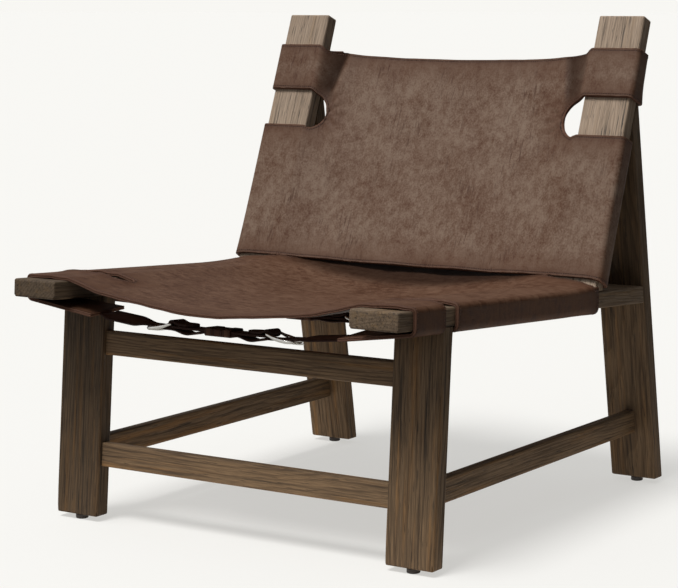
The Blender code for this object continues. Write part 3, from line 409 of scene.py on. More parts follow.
def leather_sheet(name, points, across, along, kept, edge, material, slot_name, painted_shade):
    """A doubled leather sheet round its middle surface: an upper and a lower layer, each off it
    along the normals by its thickness, closed along the rim by the edge section, which is carried
    round with its outward direction square to the rim and to the normal."""
    rows, columns = across.shape
    quads = grid_faces(rows, columns).reshape(rows - 1, columns - 1, 4)[kept]
    flat = points.reshape(-1, 3)
    count = len(flat)
    up = point_normals(flat, quads)
    start, end = rim_sides(quads, count)
    away = unit(np.cross(unit(flat[end] - flat[start]), up[start]))
    outward = np.zeros_like(flat)
    np.add.at(outward, start, away)
    np.add.at(outward, end, away)
    used = np.unique(start)
    out = unit(outward[used])
    section = edge_section()
    ring = ((flat[used] - out * LIP)[:, None] + out[:, None] * section[None, :, :1]
            + up[used][:, None] * section[None, :, 1:])
    top = flat + up * (HALF_LEATHER + THICKER)
    under = flat - up * HALF_LEATHER
    top[used] = ring[:, 0]
    under[used] = ring[:, -1]
    everything = np.concatenate([top, under, ring[:, 1:-1].reshape(-1, 3)])

    # The edge's first step is a point of the upper layer, its last one of the lower layer
    steps = len(section)
    place = np.full(count, -1)
    place[used] = np.arange(len(used))

    def numbers(vertex, step):
        between = 2 * count + place[vertex] * (steps - 2) + step - 1
        return np.where(step == 0, vertex, np.where(step == steps - 1, vertex + count, between))

    step = np.arange(steps - 1)[None]
    strip = np.stack([numbers(end[:, None], step), numbers(start[:, None], step),
                      numbers(start[:, None], step + 1), numbers(end[:, None], step + 1)], axis=-1)
    faces = np.concatenate([quads, quads[:, ::-1] + count, strip.reshape(-1, 4)])

    def on_all(values, rim):
        return np.concatenate([values, values, np.repeat(rim, steps - 2, axis=0)])

    uv = np.stack([across, along], axis=-1).reshape(-1, 2)
    uv = on_all(uv, uv[used])
    edge = on_all(edge.reshape(-1), np.zeros(len(used)))
    painted_shade = on_all(painted_shade.reshape(-1), painted_shade.reshape(-1)[used])
    keep = np.unique(faces)
    fresh = np.zeros(len(everything), int)
    fresh[keep] = np.arange(len(keep))
    return make(name, everything[keep], fresh[faces], material, "frame", slot_name,
                edge=edge[keep], uv=uv[keep], painted_shade=painted_shade[keep])


def seat_wrap(drop, lift=0.0):
    """The seat's middle line from the rail's inner face outward, as (across, level)."""
    corner = arc((HALF_WIDTH - EDGE_RADIUS, lift * LIFT_EDGE_SHARE - EDGE_RADIUS),
                 EDGE_RADIUS + MIDDLE, 90, 0)
    lower = arc((HALF_WIDTH + MIDDLE - UNDER_RADIUS, SEAT_LOW + UNDER_RADIUS), UNDER_RADIUS, 0, -90)
    inner = (INNER_FACE, MIDDLE + lift)
    return np.concatenate([[inner], corner, lower, [(SEAT_FLAP_END, SEAT_LOW - drop)]])


def late_share(along, run):
    """Nought until this far before the seat's rear end, then growing as a square to 1 there."""
    return np.maximum((along - SEAT_END) / run + 1, 0) ** 2


def seat_point(across, along):
    """The seat's middle surface: between the rails it hangs as a parabola, and outside them its
    flaps turn round and under the rails. Toward the rear it hangs less and rises off the rails,
    both as a square of the way there. Small waves make it uneven."""
    station = np.abs(across)
    sag = SEAT_SAG + (REAR_SAG - SEAT_SAG) * np.minimum(late_share(along, EASE_RUN), 1)
    lift = REAR_LIFT * late_share(along, LIFT_RUN)
    share = station / INNER_FACE
    bend = 0.012
    # The kink at the rail's edge is eased by a parabola that leaves the hang and meets the flat
    ease = np.maximum(1 + bend - share, 0) ** 2 * (2 - bend) / (4 * bend)
    hang = np.where(share < 1 - bend, 1 - share ** 2, ease)
    level = MIDDLE + lift - sag * hang
    wave = (0.0011 * noise(across / 0.055 + 9, along / 0.075, 3)
            + 0.0006 * noise(across / 0.021 + 5, along / 0.033, 4))
    loose = smooth((INNER_FACE - 0.012 - station) / 0.05)
    front = np.exp(-np.maximum(along - SEAT_FRONT, 0) / 0.05)
    level = level + wave * loose - 0.0014 * front * np.cos(across / 0.034 + 0.7) * loose
    # The front tabs hang lower at their front corners
    tab = along < (SLOT[0] + SLOT[1]) / 2
    tilt = TAB_TILT * (1 - 2 * (along - SEAT_FRONT) / (SLOT[0] - SEAT_FRONT))
    drop = np.where(tab, TAB_DROP + tilt, MAIN_DROP)
    reach = np.maximum(station - INNER_FACE, 0)

    def line(drop, lift=0.0):
        return along_line(seat_wrap(drop, lift), reach)

    even = line(0.0) + (line(TAB_DROP) - line(0.0)) * (drop / TAB_DROP)[..., None]
    raised = (line(MAIN_DROP, REAR_LIFT) - line(MAIN_DROP)) * late_share(along, LIFT_RUN)[..., None]
    spot = np.where((share > 1 + bend)[..., None], even + raised, np.stack([station, level], axis=-1))
    # A tab's front edge draws back a little where it turns down the rail's side
    drawn = 0.007 * smooth((station - 0.330) / 0.03) * np.clip((SLOT[0] - along) / 0.09, 0, 1)
    puff = 0.0012 * smooth((station - 0.285) / 0.02) * smooth((0.346 - station) / 0.02)
    puff = puff * (1 + 1.2 * noise(across / 0.03, along / 0.045, 21))
    # The slot's lips curl up, the front one more, so the slot is nearly shut
    beside = smooth((station - 0.215) / 0.02) * smooth((0.352 - station) / 0.012)
    front_lip = 0.0030 * np.exp(-np.maximum(SLOT[0] - along, 0) / 0.012)
    rear_lip = 0.0012 * np.exp(-np.maximum(along - SLOT[1], 0) / 0.010)
    puff = puff + beside * np.where(tab, front_lip, rear_lip)
    return in_frame(spot[..., 0] * np.where(across < 0, -1, 1), along + drawn, spot[..., 1] + puff,
                    RAIL_FOOT, -RAIL_SLOPE)


def back_wrap(bulge):
    """The back's middle line from the post's inner face outward, as (across, depth)."""
    radius = EDGE_RADIUS + MIDDLE
    corner = HALF_WIDTH - EDGE_RADIUS
    near = arc((corner, EDGE_RADIUS), radius, -90, 0)
    far = arc((corner, BOARD_THICKNESS - EDGE_RADIUS + bulge), radius, 0, 90)
    end = (BACK_FLAP_END, BOARD_THICKNESS + MIDDLE + bulge)
    return np.concatenate([[(INNER_FACE, -MIDDLE)], near, far, [end]])


def back_fold(station, along, on_left):
    """A fold that hangs from each post's strap, more on the left: its depth, the line of its
    crease and how far it is held. It deepens evenly from the post to the crease, which leans
    outward as it comes down, and comes forward again inside it."""
    line = 0.226 + 0.016 * (BACK_TOP - along) / (BACK_TOP - CUT_HIGH)
    held = smooth((along - CUT_HIGH + 0.014) / 0.03) * np.where(on_left, 1.0, 0.55)
    slope = np.clip((INNER_FACE - station) / (INNER_FACE - line), 0, 1)
    return FOLD_DEPTH * held * slope * (1 - smooth((line - station) / 0.014)), line, held


def back_point(across, along):
    """The back's middle surface: it bows rearward between the posts as a power of its place, more
    sharply toward the top, where a crease runs down beside each post, and it wraps round their
    backs. Above the cut-outs the wrap stands off the posts by a bulge that grows downward."""
    station = np.abs(across)
    rise = (along - BACK_LOW) / (BACK_TOP - BACK_LOW)
    sag = 0.012 + 0.018 * rise
    power = 2.5 + 2.5 * rise
    between = np.minimum(station / INNER_FACE, 1)
    depth = sag * (1 - between ** power)
    fold, line, held = back_fold(station, along, across < 0)
    # A soft ridge runs down inside the crease
    depth = depth + fold - 0.0020 * held * np.exp(-((station - line + 0.016) / 0.010) ** 2)
    # Wrinkles spread from the inner end of each cut-out
    aside, above = CUT_END - station, along - (CUT_LOW + CUT_HIGH) / 2
    spread = np.exp(-((np.hypot(aside, above) - 0.010) / 0.020) ** 2) * smooth((aside + 0.004) / 0.008)
    depth = depth + 0.0020 * spread * np.cos(10 * np.arctan2(above, aside + 0.004) + 1.3)
    loose = smooth((INNER_FACE - 0.006 - station) / 0.05)
    depth = depth + loose * (0.0012 * noise(across / 0.05 + 3, along / 0.11, 11)
                             + 0.0006 * noise(across / 0.018 + 7, along / 0.05, 12))
    foot = np.exp(-(along - BACK_LOW) / 0.03)
    depth = depth + loose * foot * 0.0017 * np.sin(across / 0.021 + 1.1)
    bulge = np.where(along < (CUT_LOW + CUT_HIGH) / 2, 0,
                     TIP_BULGE * (BACK_TOP - along) / (BACK_TOP - CUT_HIGH))
    spot = np.stack([station, depth - MIDDLE], axis=-1)
    beyond = station > INNER_FACE
    flat = along_line(back_wrap(0.0), station[beyond] - INNER_FACE)
    full = along_line(back_wrap(TIP_BULGE), station[beyond] - INNER_FACE)
    share = (bulge / TIP_BULGE)[beyond][:, None]
    spot[beyond] = flat * (1 - share) + full * share
    # The top edge drops at once where it leaves a post, then sags gently, but less in the fold
    gentle = np.maximum(1.04 - np.hypot(between, 0.28), 0)
    dip = rise * (0.0085 * smooth((INNER_FACE + 0.003 - station) / 0.014) + 0.0075 * gentle)
    # The lower outer corners flare out and down
    flare = CORNER_FLARE * np.exp(-(along - BACK_LOW) / 0.045) * smooth((station - 0.325) / 0.05)
    spot[..., 0] += flare * smooth((0.385 - station) / 0.02)
    return in_frame(spot[..., 0] * np.where(across < 0, -1, 1), spot[..., 1],
                    along - dip + 0.39 * fold - flare, POST_FOOT, -POST_LEAN)


def seat_painted_shade(across, along):
    """Painted shade: the seat is drawn darker at its rear, where it goes on below the back and lies in its
    shadow.
    """
    middle = 1 - np.minimum(np.abs(across) / 0.255, 1) ** 2
    return 0.8 * smooth((along - SEAT_END + 0.012 + 0.045 * middle) / 0.05)


def back_painted_shade(across, along):
    """Painted shade in the fold beside each strap, the darker the deeper the fold."""
    station = np.abs(across)
    depth = np.clip(back_fold(station, along, across < 0)[0] / FOLD_DEPTH, 0, 1)
    return 0.85 * depth ** 0.35 * smooth((INNER_FACE - station) / 0.008)


# How far each sheet reaches from its middle to its flap's end, measured along the wrap
SEAT_REACH = INNER_FACE + line_length(seat_wrap(MAIN_DROP))
BACK_REACH = INNER_FACE + line_length(back_wrap(0.0))


def sewn(name, spot, outline, material, slot_name):
    """Stitches on a sheet's outer side, along its seam. The outline is walked on one side and
    back on the other, and each place's normal comes from its neighbours on the sheet."""
    right = along_line(outline, np.arange(0, line_length(outline), 0.0012))
    path = np.concatenate([right, (right * (-1, 1))[::-1]])
    across, along = path.T
    step = 0.0004
    centre = spot(across, along)
    normal = unit(np.cross(spot(across + step, along) - centre, spot(across, along + step) - centre))
    top = centre + normal * (HALF_LEATHER + THICKER)
    return stitches(name, top, normal, material, slot_name)


# Straps, each set outward from its middle, with levels toward the sitter

def curl(reach):
    """How far the buckle has dropped at this reach from the bar: 0 there, 1 at the toe."""
    return 1 - (1 - reach / BUCKLE) ** 2


def prong_level(reach):
    """The prong's level, which leaves the bar below its eye and follows the curl to the toe."""
    return -PRONG_EYE + (PRONG_TOE + PRONG_EYE) * curl(reach)


def rounded(path, step=0.0016, passes=10):
    """A path drawn again with even steps and its kinks smoothed, its ends kept."""
    count = max(int(line_length(path) / step), 8)
    path = along_line(path, np.linspace(0, line_length(path), count))
    for _ in range(passes):
        path[1:-1] = (path[:-2] + 2 * path[1:-1] + path[2:]) / 4
    return path


def strap_ends(path, start=0.0, end=0.0, tip=0.3):
    """Widths that narrow a strap over its first and last lengths to a blunt point."""
    lengths = lengths_along(path)
    total = lengths[-1]
    wide = np.ones(len(path))
    if start:
        wide = np.minimum(wide, tip + (1 - tip) * np.clip(lengths / start, 0, 1) ** 0.75)
    if end:
        wide = np.minimum(wide, tip + (1 - tip) * np.clip((total - lengths) / end, 0, 1) ** 0.75)
    close = np.minimum(lengths, total - lengths)
    thick = np.sqrt(np.clip(close / 0.0012, 0.05, 1))
    return np.stack([wide * (0.94 + 0.06 * thick), thick], axis=-1)


def upright(line):
    """A line of (across, level) in the upright plane through the middle of the strap."""
    return np.stack([line[:, 0], np.zeros(len(line)), line[:, 1]], axis=-1)


def centre_path():
    """The doubled strap between the bars, folded back round both, as (across, level)."""
    bend = -MAIN_LEVEL
    fold = arc((BAR, 0.0), bend, -90, 90, 14)
    fall = np.linspace(0, 1, 8)[1:, None]
    level = bend + (RETURN_LEVEL - bend) * smooth(fall)
    half = np.concatenate([[(0, MAIN_LEVEL), (BAR / 2, MAIN_LEVEL - 0.0005)], fold,
                           np.concatenate([BAR - 0.014 * fall, level], axis=1),
                           [(BAR - 0.040, RETURN_LEVEL)]])
    return np.concatenate([(half * (-1, 1))[:0:-1], half])


def billet_path(flap_end, rise, fall, hang):
    """The strap from below the centre strap, where it hangs a little between the sleeve and the
    buckle, over the buckle's toe and on to the flap, as (across, level)."""
    loop = np.linspace(0.032, 0.086, 12)
    loop = np.stack([loop, TAIL_LEVEL - hang * np.sin(pi * (loop - 0.032) / 0.054) ** 2], axis=-1)
    reach = np.linspace(0.008, BUCKLE - 0.005, 12)
    share = smooth((reach - 0.008) / (BUCKLE - 0.013))
    dive = np.stack([BAR + reach, TAIL_LEVEL + (TOE_LEVEL - TAIL_LEVEL) * share], axis=-1)
    end = rise - HALF_LEATHER - GAP - BILLET_HALF
    return np.concatenate([[(0.004, TAIL_LEVEL), (0.028, TAIL_LEVEL)], loop, dive,
                           [(BAR + BUCKLE + WIRE, TOE_LEVEL), (flap_end, end),
                            (flap_end + 0.040, end + fall * 0.040)]])


def buckle_path():
    """A round wire frame from the bar outward, dropping in a curl toward its toe."""
    half = STRAP_HALF + 0.001 + WIRE
    heel, toe = 0.004, 0.010
    shares = np.array([0.25, 0.5, 0.75])
    limb = np.stack([shares * (BUCKLE - toe - heel) + heel, np.full(3, half)], axis=-1)
    outline = np.concatenate([
        limb * (1, -1),
        arc((BUCKLE - toe, toe - half), toe, -90, 0, 9), arc((BUCKLE - toe, half - toe), toe, 0, 90, 9),
        limb[::-1],
        arc((heel, half - heel), heel, 90, 180, 6), arc((heel, heel - half), heel, 180, 270, 6)])
    return np.concatenate([outline, -CURL * curl(outline[:, :1])], axis=1)


def prong_path():
    """An eye round the bar, then a tongue that follows the curl and passes the toe."""
    eye = arc((0.0, 0.0), PRONG_EYE, -20, 270, 22)
    reach = np.linspace(0, BUCKLE, 13)[1:]
    tongue = np.stack([reach, prong_level(reach)], axis=-1)
    past = np.array([0.35, 0.7, 1.0])
    tip = np.stack([BUCKLE + 0.013 * past, PRONG_TOE + 0.0012 * past ** 2], axis=-1)
    return upright(np.concatenate([eye, tongue, tip]))


def band_path(play):
    """A band's middle line round the centre strap and the tail of the billet."""
    low = TAIL_LEVEL - BILLET_HALF - 0.0004 - BAND_HALF
    high = MAIN_LEVEL + CENTRE_HALF + play + BAND_HALF
    half = STRAP_HALF + 0.0004 + BAND_HALF
    corner = 0.0022
    outline = np.concatenate([
        arc((half - corner, high - corner), corner, 0, 90, 5),
        arc((corner - half, high - corner), corner, 90, 180, 5),
        arc((corner - half, low + corner), corner, 180, 270, 5),
        arc((half - corner, low + corner), corner, 270, 360, 5)])
    return np.stack([np.zeros(len(outline)), outline[:, 0], outline[:, 1]], axis=-1)


# Materials

class Graph:
    """A node tree under the pen: each call adds a node and hands back its output."""

    def __init__(self, tree):
        self.tree = tree

    def node(self, kind, inputs=(), **settings):
        made = self.tree.nodes.new(kind)
        for key, value in settings.items():
            setattr(made, key, value)
        for key, value in dict(inputs).items():
            if isinstance(value, bpy.types.NodeSocket):
                self.tree.links.new(value, made.inputs[key])
            else:
                made.inputs[key].default_value = value
        return made

    def maths(self, operation, first, second=0.0, clamp=False):
        return self.node("ShaderNodeMath", {0: first, 1: second}, operation=operation,
                         use_clamp=clamp).outputs[0]

    def vectors(self, operation, inputs):
        return self.node("ShaderNodeVectorMath", inputs, operation=operation).outputs

    def noise(self, vector, scale, detail=3.0, rough=0.55, warp=0.0):
        return self.node("ShaderNodeTexNoise", {"Vector": vector, "Scale": scale, "Detail": detail,
                         "Roughness": rough, "Distortion": warp}).outputs["Fac"]

    def span(self, value, low, high, to_low=0.0, to_high=1.0):
        return self.node("ShaderNodeMapRange", {"Value": value, "From Min": low, "From Max": high,
                         "To Min": to_low, "To Max": to_high}, interpolation_type="SMOOTHSTEP").outputs[0]

    def mix(self, share, first, second):
        return self.node("ShaderNodeMix", {0: share, 6: first, 7: second}, data_type="RGBA").outputs[2]

    def mix_shader(self, share, first, second):
        return self.node("ShaderNodeMixShader", {0: share, 1: first, 2: second}).outputs[0]

    def add_shader(self, first, second):
        return self.node("ShaderNodeAddShader", {0: first, 1: second}).outputs[0]

    def stretch(self, vector, scale, location=(0, 0, 0), turn=(0, 0, 0)):
        return self.node("ShaderNodeMapping", {"Vector": vector, "Scale": scale, "Location": location,
                         "Rotation": turn}).outputs[0]


def linear(red, green, blue):
    """A colour given as it looks on screen, 0 to 255, as a linear one."""
    value = np.array([red, green, blue]) / 255
    value = np.where(value < 0.04045, value / 12.92, ((value + 0.055) / 1.055) ** 2.4)
    return (*value.tolist(), 1.0)


def new_group(name, inputs, outputs):
    """A shader node group with its sockets, and a graph that fills it."""
    tree = bpy.data.node_groups.new(name, "ShaderNodeTree")
    for key, kind, value in inputs:
        socket = tree.interface.new_socket(name=key, in_out="INPUT", socket_type="NodeSocket" + kind)
        if value is not None:
            socket.default_value = value
    for key, kind in outputs:
        tree.interface.new_socket(name=key, in_out="OUTPUT", socket_type="NodeSocket" + kind)
    graph = Graph(tree)
    return graph, graph.node("NodeGroupInput").outputs, graph.node("NodeGroupOutput")


def finish_group(graph, output, results):
    """Links the results to the group's outputs and gives its tree."""
    for key, value in results.items():
        graph.tree.links.new(value, output.inputs[key])
    return graph.tree


def oak_group():
    """Wire-brushed stained oak. X runs along the grain. Growth rings are circles round a pith
    beside the board, bent by slow noise, and streaks, lines and dark pores are noise of three
    finenesses stretched along the grain."""
    graph, source, output = new_group("brushed_oak", [
        ("Vector", "Vector", None), ("Light", "Color", (0.3, 0.25, 0.2, 1)),
        ("Middle", "Color", (0.2, 0.15, 0.1, 1)), ("Dark", "Color", (0.03, 0.02, 0.015, 1)),
        ("Gold", "Color", (0.2, 0.12, 0.05, 1)), ("Brushing", "Float", 1.0)],
        [("Color", "Color"), ("Roughness", "Float"), ("Height", "Float")])
    place = source["Vector"]
    slow = graph.node("ShaderNodeTexNoise", {"Vector": graph.stretch(place, (2.2, 7, 7)), "Scale": 1.0,
                                             "Detail": 3.0}).outputs["Color"]
    bent = graph.vectors("ADD", {0: place, 1: graph.vectors("SCALE", {0: slow, 3: 0.045})[0]})[0]
    across = graph.stretch(bent, (0.06, 1, 1), (0, 0.031, 0.043))
    radius = graph.vectors("LENGTH", {0: across})["Value"]
    ring = graph.maths("FRACT", graph.maths("MULTIPLY", radius, 210))
    late = graph.maths("MULTIPLY", graph.span(ring, 0.35, 0.92), graph.span(ring, 0.93, 1.0, 1, 0))
    streak = graph.noise(graph.stretch(place, (7, 210, 210)), 1.0, 4.0, 0.6)
    line = graph.noise(graph.stretch(place, (11, 560, 560), (2, 4, 6)), 1.0, 3.0, 0.6)
    fine = graph.noise(graph.stretch(place, (34, 900, 900)), 1.0, 3.0, 0.6)
    cloud = graph.noise(graph.stretch(place, (5, 14, 14)), 1.0, 3.0, 0.6)
    pore = graph.noise(graph.stretch(place, (38, 640, 640), (3, 1, 2)), 1.0, 2.0, 0.5)
    pore = graph.maths("MULTIPLY", graph.span(pore, 0.56, 0.68), graph.span(ring, 0.0, 0.55, 1.0, 0.25))
    tone = graph.maths("ADD", graph.maths("MULTIPLY", late, 0.50), graph.span(streak, 0.35, 0.7, 0, 0.5))
    tone = graph.maths("ADD", tone, graph.span(line, 0.34, 0.66, -0.26, 0.38))
    tone = graph.maths("ADD", tone, graph.span(cloud, 0.3, 0.7, -0.14, 0.22), clamp=True)
    colour = graph.mix(tone, source["Light"], source["Middle"])
    golden = graph.noise(graph.stretch(place, (3.5, 85, 85), (5, 3, 1)), 1.0, 3.0, 0.6)
    colour = graph.mix(graph.span(golden, 0.50, 0.72, 0.0, 0.6), colour, source["Gold"])
    speck = graph.span(fine, 0.42, 0.68, 0.0, 0.5)
    colour = graph.mix(speck, colour, source["Middle"])
    band = graph.maths("MULTIPLY", graph.span(streak, 0.57, 0.70), 0.8)
    dark = graph.maths("ADD", pore, band, clamp=True)
    dark = graph.maths("MULTIPLY", dark, source["Brushing"], clamp=True)
    colour = graph.mix(dark, colour, source["Dark"])
    height = graph.maths("SUBTRACT", graph.maths("MULTIPLY", tone, -0.25), dark)
    rough = graph.span(tone, 0, 1, 0.56, 0.74)
    return finish_group(graph, output, {"Color": colour, "Roughness": rough, "Height": height})


def leather_group():
    """Waxed leather with a pale bloom. Clouds of three sizes and a slanting nap mix the tones, fine
    folds run along V in patches, the bloom fades toward the edge, the rim has its own tone, and a
    seam is sunk at its distance from the edge. A painted shade input darkens the leather."""
    graph, source, output = new_group("worn_leather", [
        ("Vector", "Vector", None), ("Edge", "Float", 0.0), ("Deep", "Color", (0.1, 0.05, 0.03, 1)),
        ("Body", "Color", (0.15, 0.08, 0.05, 1)), ("Bloom", "Color", (0.2, 0.15, 0.12, 1)),
        ("Rim", "Color", (0.03, 0.01, 0.01, 1)), ("Seam_and_painted_shade", "Color", (0.012, 0.006, 0.004, 1)),
        ("Clouds", "Float", 1.0), ("Folds", "Float", 1.0), ("Nap", "Float", 0.0),
        ("Seam", "Float", SEAM), ("Painted_shade", "Float", 0.0)],
        [("Color", "Color"), ("Roughness", "Float"), ("Height", "Float")])
    place, edge = source["Vector"], source["Edge"]
    big = graph.noise(place, 11.0, 4.0, 0.6, 0.4)
    middle = graph.noise(graph.stretch(place, (1.0, 0.72, 1.0), (4, 2, 0)), 80.0, 5.0, 0.66, 0.3)
    small = graph.noise(graph.stretch(place, (1.0, 0.8, 1.0), (1, 7, 0)), 330.0, 3.0, 0.6)
    grain = graph.node("ShaderNodeTexVoronoi", {"Vector": place, "Scale": 1150.0},
                       feature="SMOOTH_F1").outputs["Distance"]
    patch = graph.span(graph.noise(graph.stretch(place, (1, 0.6, 1), (3, 5, 0)), 16.0, 2.0), 0.46, 0.66)
    fold = graph.noise(graph.stretch(place, (1.0, 0.12, 1.0), (8, 3, 0)), 230.0, 3.0, 0.6, 0.2)
    fold_line = graph.maths("MULTIPLY", graph.maths("MULTIPLY", graph.span(fold, 0.53, 0.68), patch),
                            source["Folds"], clamp=True)
    nap = graph.noise(graph.stretch(place, (0.5, 1.6, 1.0), (2, 9, 0), (0, 0, 0.5)), 85.0, 4.0, 0.65, 0.8)
    cloudy = graph.maths("ADD", graph.maths("MULTIPLY", big, 0.32), graph.maths("MULTIPLY", middle, 0.38))
    cloudy = graph.maths("ADD", cloudy, graph.maths("MULTIPLY", small, 0.30))
    cloudy = graph.maths("ADD", cloudy, graph.maths("MULTIPLY", graph.maths(
        "SUBTRACT", nap, 0.5), source["Nap"]))
    inner = graph.span(edge, 0.004, 0.060, 0.40, 1.0)
    bloom = graph.maths("MULTIPLY", graph.span(cloudy, 0.36, 0.66), graph.maths(
        "MULTIPLY", inner, source["Clouds"]), clamp=True)
    deep = graph.maths("MULTIPLY", graph.span(cloudy, 0.47, 0.36, 0.0, 0.4), source["Clouds"], clamp=True)
    colour = graph.mix(bloom, source["Body"], source["Bloom"])
    colour = graph.mix(deep, colour, source["Deep"])
    colour = graph.mix(graph.maths("MULTIPLY", fold_line, 0.7), colour, source["Deep"])
    speck = graph.span(graph.noise(graph.stretch(place, (1, 0.5, 1)), 800.0, 2.0, 0.5), 0.66, 0.8, 0, 0.35)
    colour = graph.mix(graph.maths("MULTIPLY", speck, bloom), colour, graph.mix(
        0.5, source["Bloom"], (1, 0.95, 0.9, 1)))
    rim = graph.span(edge, 0.0003, 0.0016, 1.0, 0.0)
    apart = graph.maths("ABSOLUTE", graph.maths("SUBTRACT", edge, source["Seam"]))
    seam = graph.span(apart, 0.0002, 0.0012, 1.0, 0.0)
    colour = graph.mix(graph.span(edge, 0.003, 0.016, 0.35, 0.0), colour, source["Deep"])
    colour = graph.mix(graph.maths("MULTIPLY", seam, 0.9), colour, source["Seam_and_painted_shade"])
    colour = graph.mix(rim, colour, source["Rim"])
    # Painted shade: this input darkens the leather toward the dark tone that the sunk seam also uses
    colour = graph.mix(source["Painted_shade"], colour, source["Seam_and_painted_shade"])
    height = graph.maths("SUBTRACT", graph.maths("MULTIPLY", grain, 0.10), graph.maths(
        "MULTIPLY", fold_line, 1.1))
    height = graph.maths("ADD", height, graph.maths("MULTIPLY", middle, 0.30))
    height = graph.maths("SUBTRACT", height, graph.maths("MULTIPLY", seam, 0.9))
    rough = graph.span(cloudy, 0.36, 0.66, 0.50, 0.66)
    return finish_group(graph, output, {"Color": colour, "Roughness": rough, "Height": height})


oak_effect = oak_group()
leather_effect = leather_group()


def new_material(name):
    """A material with its graph and its Principled shader."""
    material = bpy.data.materials.new(name)
    material.use_nodes = True
    return material, Graph(material.node_tree), material.node_tree.nodes["Principled BSDF"]


def fit(graph, inputs, values):
    """Links or sets each named socket."""
    for key, value in values.items():
        if isinstance(value, bpy.types.NodeSocket):
            graph.tree.links.new(value, inputs[key])
        else:
            inputs[key].default_value = value


def scaled(colour, share):
    """A colour made lighter or darker, its alpha kept at one."""
    return tuple(part * share for part in colour[:3]) + (1.0,)


def dress(name, group, vector, values, bump, gloss):
    """A material whose colour, roughness and bump come from one effect group. vector and values
    are functions that give the group's inputs in the material's graph, bump is its strength and
    depth, and gloss is the specular level, which the painted shade lowers to nothing."""
    material, graph, shader = new_material(name)
    effect = graph.node("ShaderNodeGroup", node_tree=group)
    inputs = {"Vector": vector(graph)} | values(graph)
    fit(graph, effect.inputs, inputs)
    dented = graph.node("ShaderNodeBump", {"Height": effect.outputs["Height"], "Strength": bump[0],
                                           "Distance": bump[1]}).outputs[0]
    fit(graph, shader.inputs, {"Base Color": effect.outputs["Color"], "Normal": dented,
                               "Roughness": effect.outputs["Roughness"], "Specular IOR Level": gloss})
    # Where shade is painted, the specular level is lowered along with it
    if "Painted_shade" in inputs:
        dulled = graph.node("ShaderNodeMath", {0: inputs["Painted_shade"], 1: -gloss, 2: gloss},
                            operation="MULTIPLY_ADD").outputs[0]
        graph.tree.links.new(dulled, shader.inputs["Specular IOR Level"])
    return material


def oak(name, turn, shift, light, middle, dark, gold, brushing):
    """Oak for one board, its grain turned along the board and its figure shifted."""
    def vector(graph):
        return graph.stretch(graph.node("ShaderNodeTexCoord").outputs["Object"], (1, 1, 1), shift, turn)

    def values(graph):
        return {"Light": light, "Middle": middle, "Dark": dark, "Gold": gold, "Brushing": brushing}

    return dress(name, oak_effect, vector, values, (0.55, 0.0006), 0.2)


def leather(name, deep, body, bloom, rim, clouds=1.0, folds=1.0, nap=0.0, flat=True, seam=SEAM):
    """Leather on a sheet's flat map, or on a strap's place in the chair."""
    def vector(graph):
        if flat:
            return graph.node("ShaderNodeUVMap", uv_map="flat").outputs[0]
        return graph.node("ShaderNodeTexCoord").outputs["Object"]

    def values(graph):
        # Sheets read their edge distance and their painted shade from point attributes
        kept = {key: graph.node("ShaderNodeAttribute", attribute_name=key.lower()).outputs["Fac"]
                for key in (("Edge", "Painted_shade") if flat else ("Edge",))}
        return kept | {"Deep": deep, "Body": body, "Bloom": bloom, "Rim": rim, "Clouds": clouds,
                       "Folds": folds, "Nap": nap, "Seam": seam}

    return dress(name, leather_effect, vector, values, (0.5, 0.0008), 0.12)


def plain(name, colour, roughness, metallic=0.0):
    """Metal, thread or plastic: one tone with a faint change of gloss over the surface."""
    material, graph, shader = new_material(name)
    mottle = graph.noise(graph.node("ShaderNodeTexCoord").outputs["Object"], 240.0, 3.0)
    fit(graph, shader.inputs, {
        "Base Color": graph.mix(graph.span(mottle, 0.35, 0.7, 0, 0.25), colour, scaled(colour, 0.7)),
        "Roughness": graph.span(mottle, 0.3, 0.7, roughness * 0.8, roughness * 1.3),
        "Metallic": metallic})
    return material


back_hide = leather("back_hide", linear(67, 42, 31), linear(87, 61, 46), linear(127, 108, 93),
                    linear(96, 66, 51), clouds=0.95)
seat_hide = leather("seat_hide", linear(50, 29, 18), linear(72, 46, 31), linear(96, 71, 55),
                    linear(86, 60, 47), clouds=1.0, folds=0.4, nap=0.6)
strap_hide = leather("strap_hide", linear(42, 23, 15), linear(66, 39, 28), linear(92, 60, 46),
                     linear(38, 19, 12), folds=0.3, flat=False, seam=0.0030)
keeper_hide = leather("keeper_hide", linear(54, 33, 24), linear(80, 53, 40), linear(104, 76, 60),
                      linear(56, 30, 19), folds=0.2, flat=False, seam=0.0025)
nickel = plain("polished_nickel", linear(222, 219, 212), 0.24, 1.0)
thread = plain("waxed_thread", linear(94, 62, 47), 0.7)
glide_nylon = plain("glide_nylon", linear(46, 38, 33), 0.45)


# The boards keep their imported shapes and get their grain

def dress_board(node, heading, shift, tones, strength, brushing):
    """Oak on one board. heading is the grain's direction, which the turn brings onto X, and
    strength makes the board's four tones lighter or darker, as painted light and shade."""
    turn = Vector(heading).rotation_difference(Vector((1, 0, 0))).to_euler()
    material = oak(node + "_oak", tuple(turn), shift, *(scaled(tone, strength) for tone in tones), brushing)
    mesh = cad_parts[node].data
    mesh.materials.clear()
    mesh.materials.append(material)


